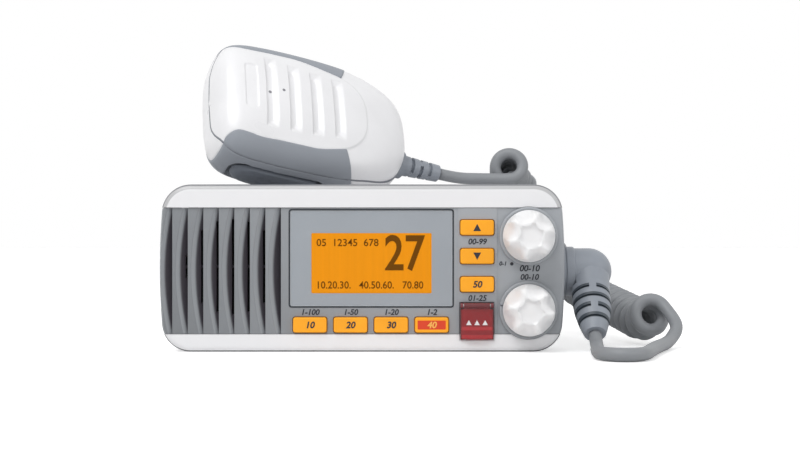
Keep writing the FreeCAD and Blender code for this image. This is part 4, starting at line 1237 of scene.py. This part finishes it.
def area_light(name, place, target, width, height, power):
    light = bpy.data.lights.new(name, "AREA")
    light.shape = "RECTANGLE"
    light.size, light.size_y = width, height
    light.energy = power
    holder = bpy.data.objects.new(name, light)
    holder.location = place
    holder.rotation_euler = (Vector(target) - Vector(place)).to_track_quat("-Z", "Y").to_euler()
    bpy.context.scene.collection.objects.link(holder)


class RADIO_OT_stage(Operator):
    """Make the camera, the pale floor and the soft studio light"""

    bl_idname = "radio.stage"
    bl_label = "Stage"

    def execute(self, context):
        sizes = context.scene.radio_stage
        scene = context.scene
        camera = bpy.data.cameras.new("camera")
        camera.lens = sizes.lens
        camera.sensor_width = 36.0
        holder = bpy.data.objects.new("camera", camera)
        holder.location = at(sizes.across / MM, -sizes.distance / MM, sizes.height / MM)
        holder.rotation_euler = (math.pi / 2, 0.0, 0.0)
        scene.collection.objects.link(holder)
        scene.camera = holder
        scene.view_settings.view_transform = "Standard"
        self.make_floor(sizes)
        self.make_world(scene)
        for light in LIGHTS:
            area_light(*light)
        return {"FINISHED"}

    def make_floor(self, sizes):
        shader = Shader("floor", sizes.floor, 0.5)
        tone = shader.noise(4.0, 1.0)
        shader.set("Base Color", shader.mix(tone, shade(sizes.floor, 0.99), shade(sizes.floor, 1.01)))
        seen = shader.node("ShaderNodeLightPath", output="Is Camera Ray")
        shader.set("Emission Color", shader.mix(seen, shade(WHITE, 0.0), shade(WHITE, FLOOR_GLOW)))
        shader.set("Emission Strength", 1.0)
        corners = [(x * FLOOR_HALF, y * FLOOR_HALF, 0) for x, y in ((-1, -1), (1, -1), (1, 1), (-1, 1))]
        floor = new_piece("floor", make_mesh("floor", corners, [(0, 1, 2, 3)]), shader, body=None)

    def make_world(self, scene):
        """Even soft light that looks white wherever it is seen, mirrored or through a window."""
        world = bpy.data.worlds.new("studio")
        world.use_nodes = True
        scene.world = world
        nodes = Nodes(world.node_tree)
        background = nodes.tree.nodes["Background"]
        kinds = ("Is Camera Ray", "Is Glossy Ray", "Is Transmission Ray")
        direct, mirrored, through = (nodes.node("ShaderNodeLightPath", output=kind) for kind in kinds)
        seen = direct.larger(mirrored).larger(through)
        nodes.plug(background.inputs["Color"], shade(WHITE, 1.0))
        nodes.plug(background.inputs["Strength"], WORLD_LIGHT + seen * (1.0 - WORLD_LIGHT))


class RADIO_PT_panel(Panel):
    """The radio's pieces and their sizes"""

    bl_idname = "RADIO_PT_panel"
    bl_label = "Marine radio"
    bl_space_type = "VIEW_3D"
    bl_region_type = "UI"
    bl_category = "Radio"

    def draw(self, context):
        for operator, settings, group in STEPS:
            self.layout.operator(operator.bl_idname)
            for name in group.__annotations__:
                self.layout.prop(getattr(context.scene, settings), name)


# Each operator with its settings, in the order in which main calls them
STEPS = [
    (RADIO_OT_stage, "radio_stage", StageSizes), (RADIO_OT_finishes, "radio_colours", FinishColours),
    (RADIO_OT_cord, "radio_cord", CordSizes), (RADIO_OT_knobs, "radio_knobs", KnobSizes),
    (RADIO_OT_microphone, "radio_microphone", MicrophoneColours),
    (RADIO_OT_marks, "radio_marks", MarkColours), (RADIO_OT_window, "radio_window", WindowColours),
]


def register():
    for operator, name, group in STEPS:
        bpy.utils.register_class(group)
        setattr(bpy.types.Scene, name, PointerProperty(type=group))
        bpy.utils.register_class(operator)
    bpy.utils.register_class(RADIO_PT_panel)


def unregister():
    bpy.utils.unregister_class(RADIO_PT_panel)
    for operator, name, group in reversed(STEPS):
        bpy.utils.unregister_class(operator)
        delattr(bpy.types.Scene, name)
        bpy.utils.unregister_class(group)


def main():
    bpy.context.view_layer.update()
    register()
    for operator, _, _ in STEPS:
        group, name = operator.bl_idname.split(".")
        getattr(getattr(bpy.ops, group), name)()


if __name__ == "__main__":
    main()
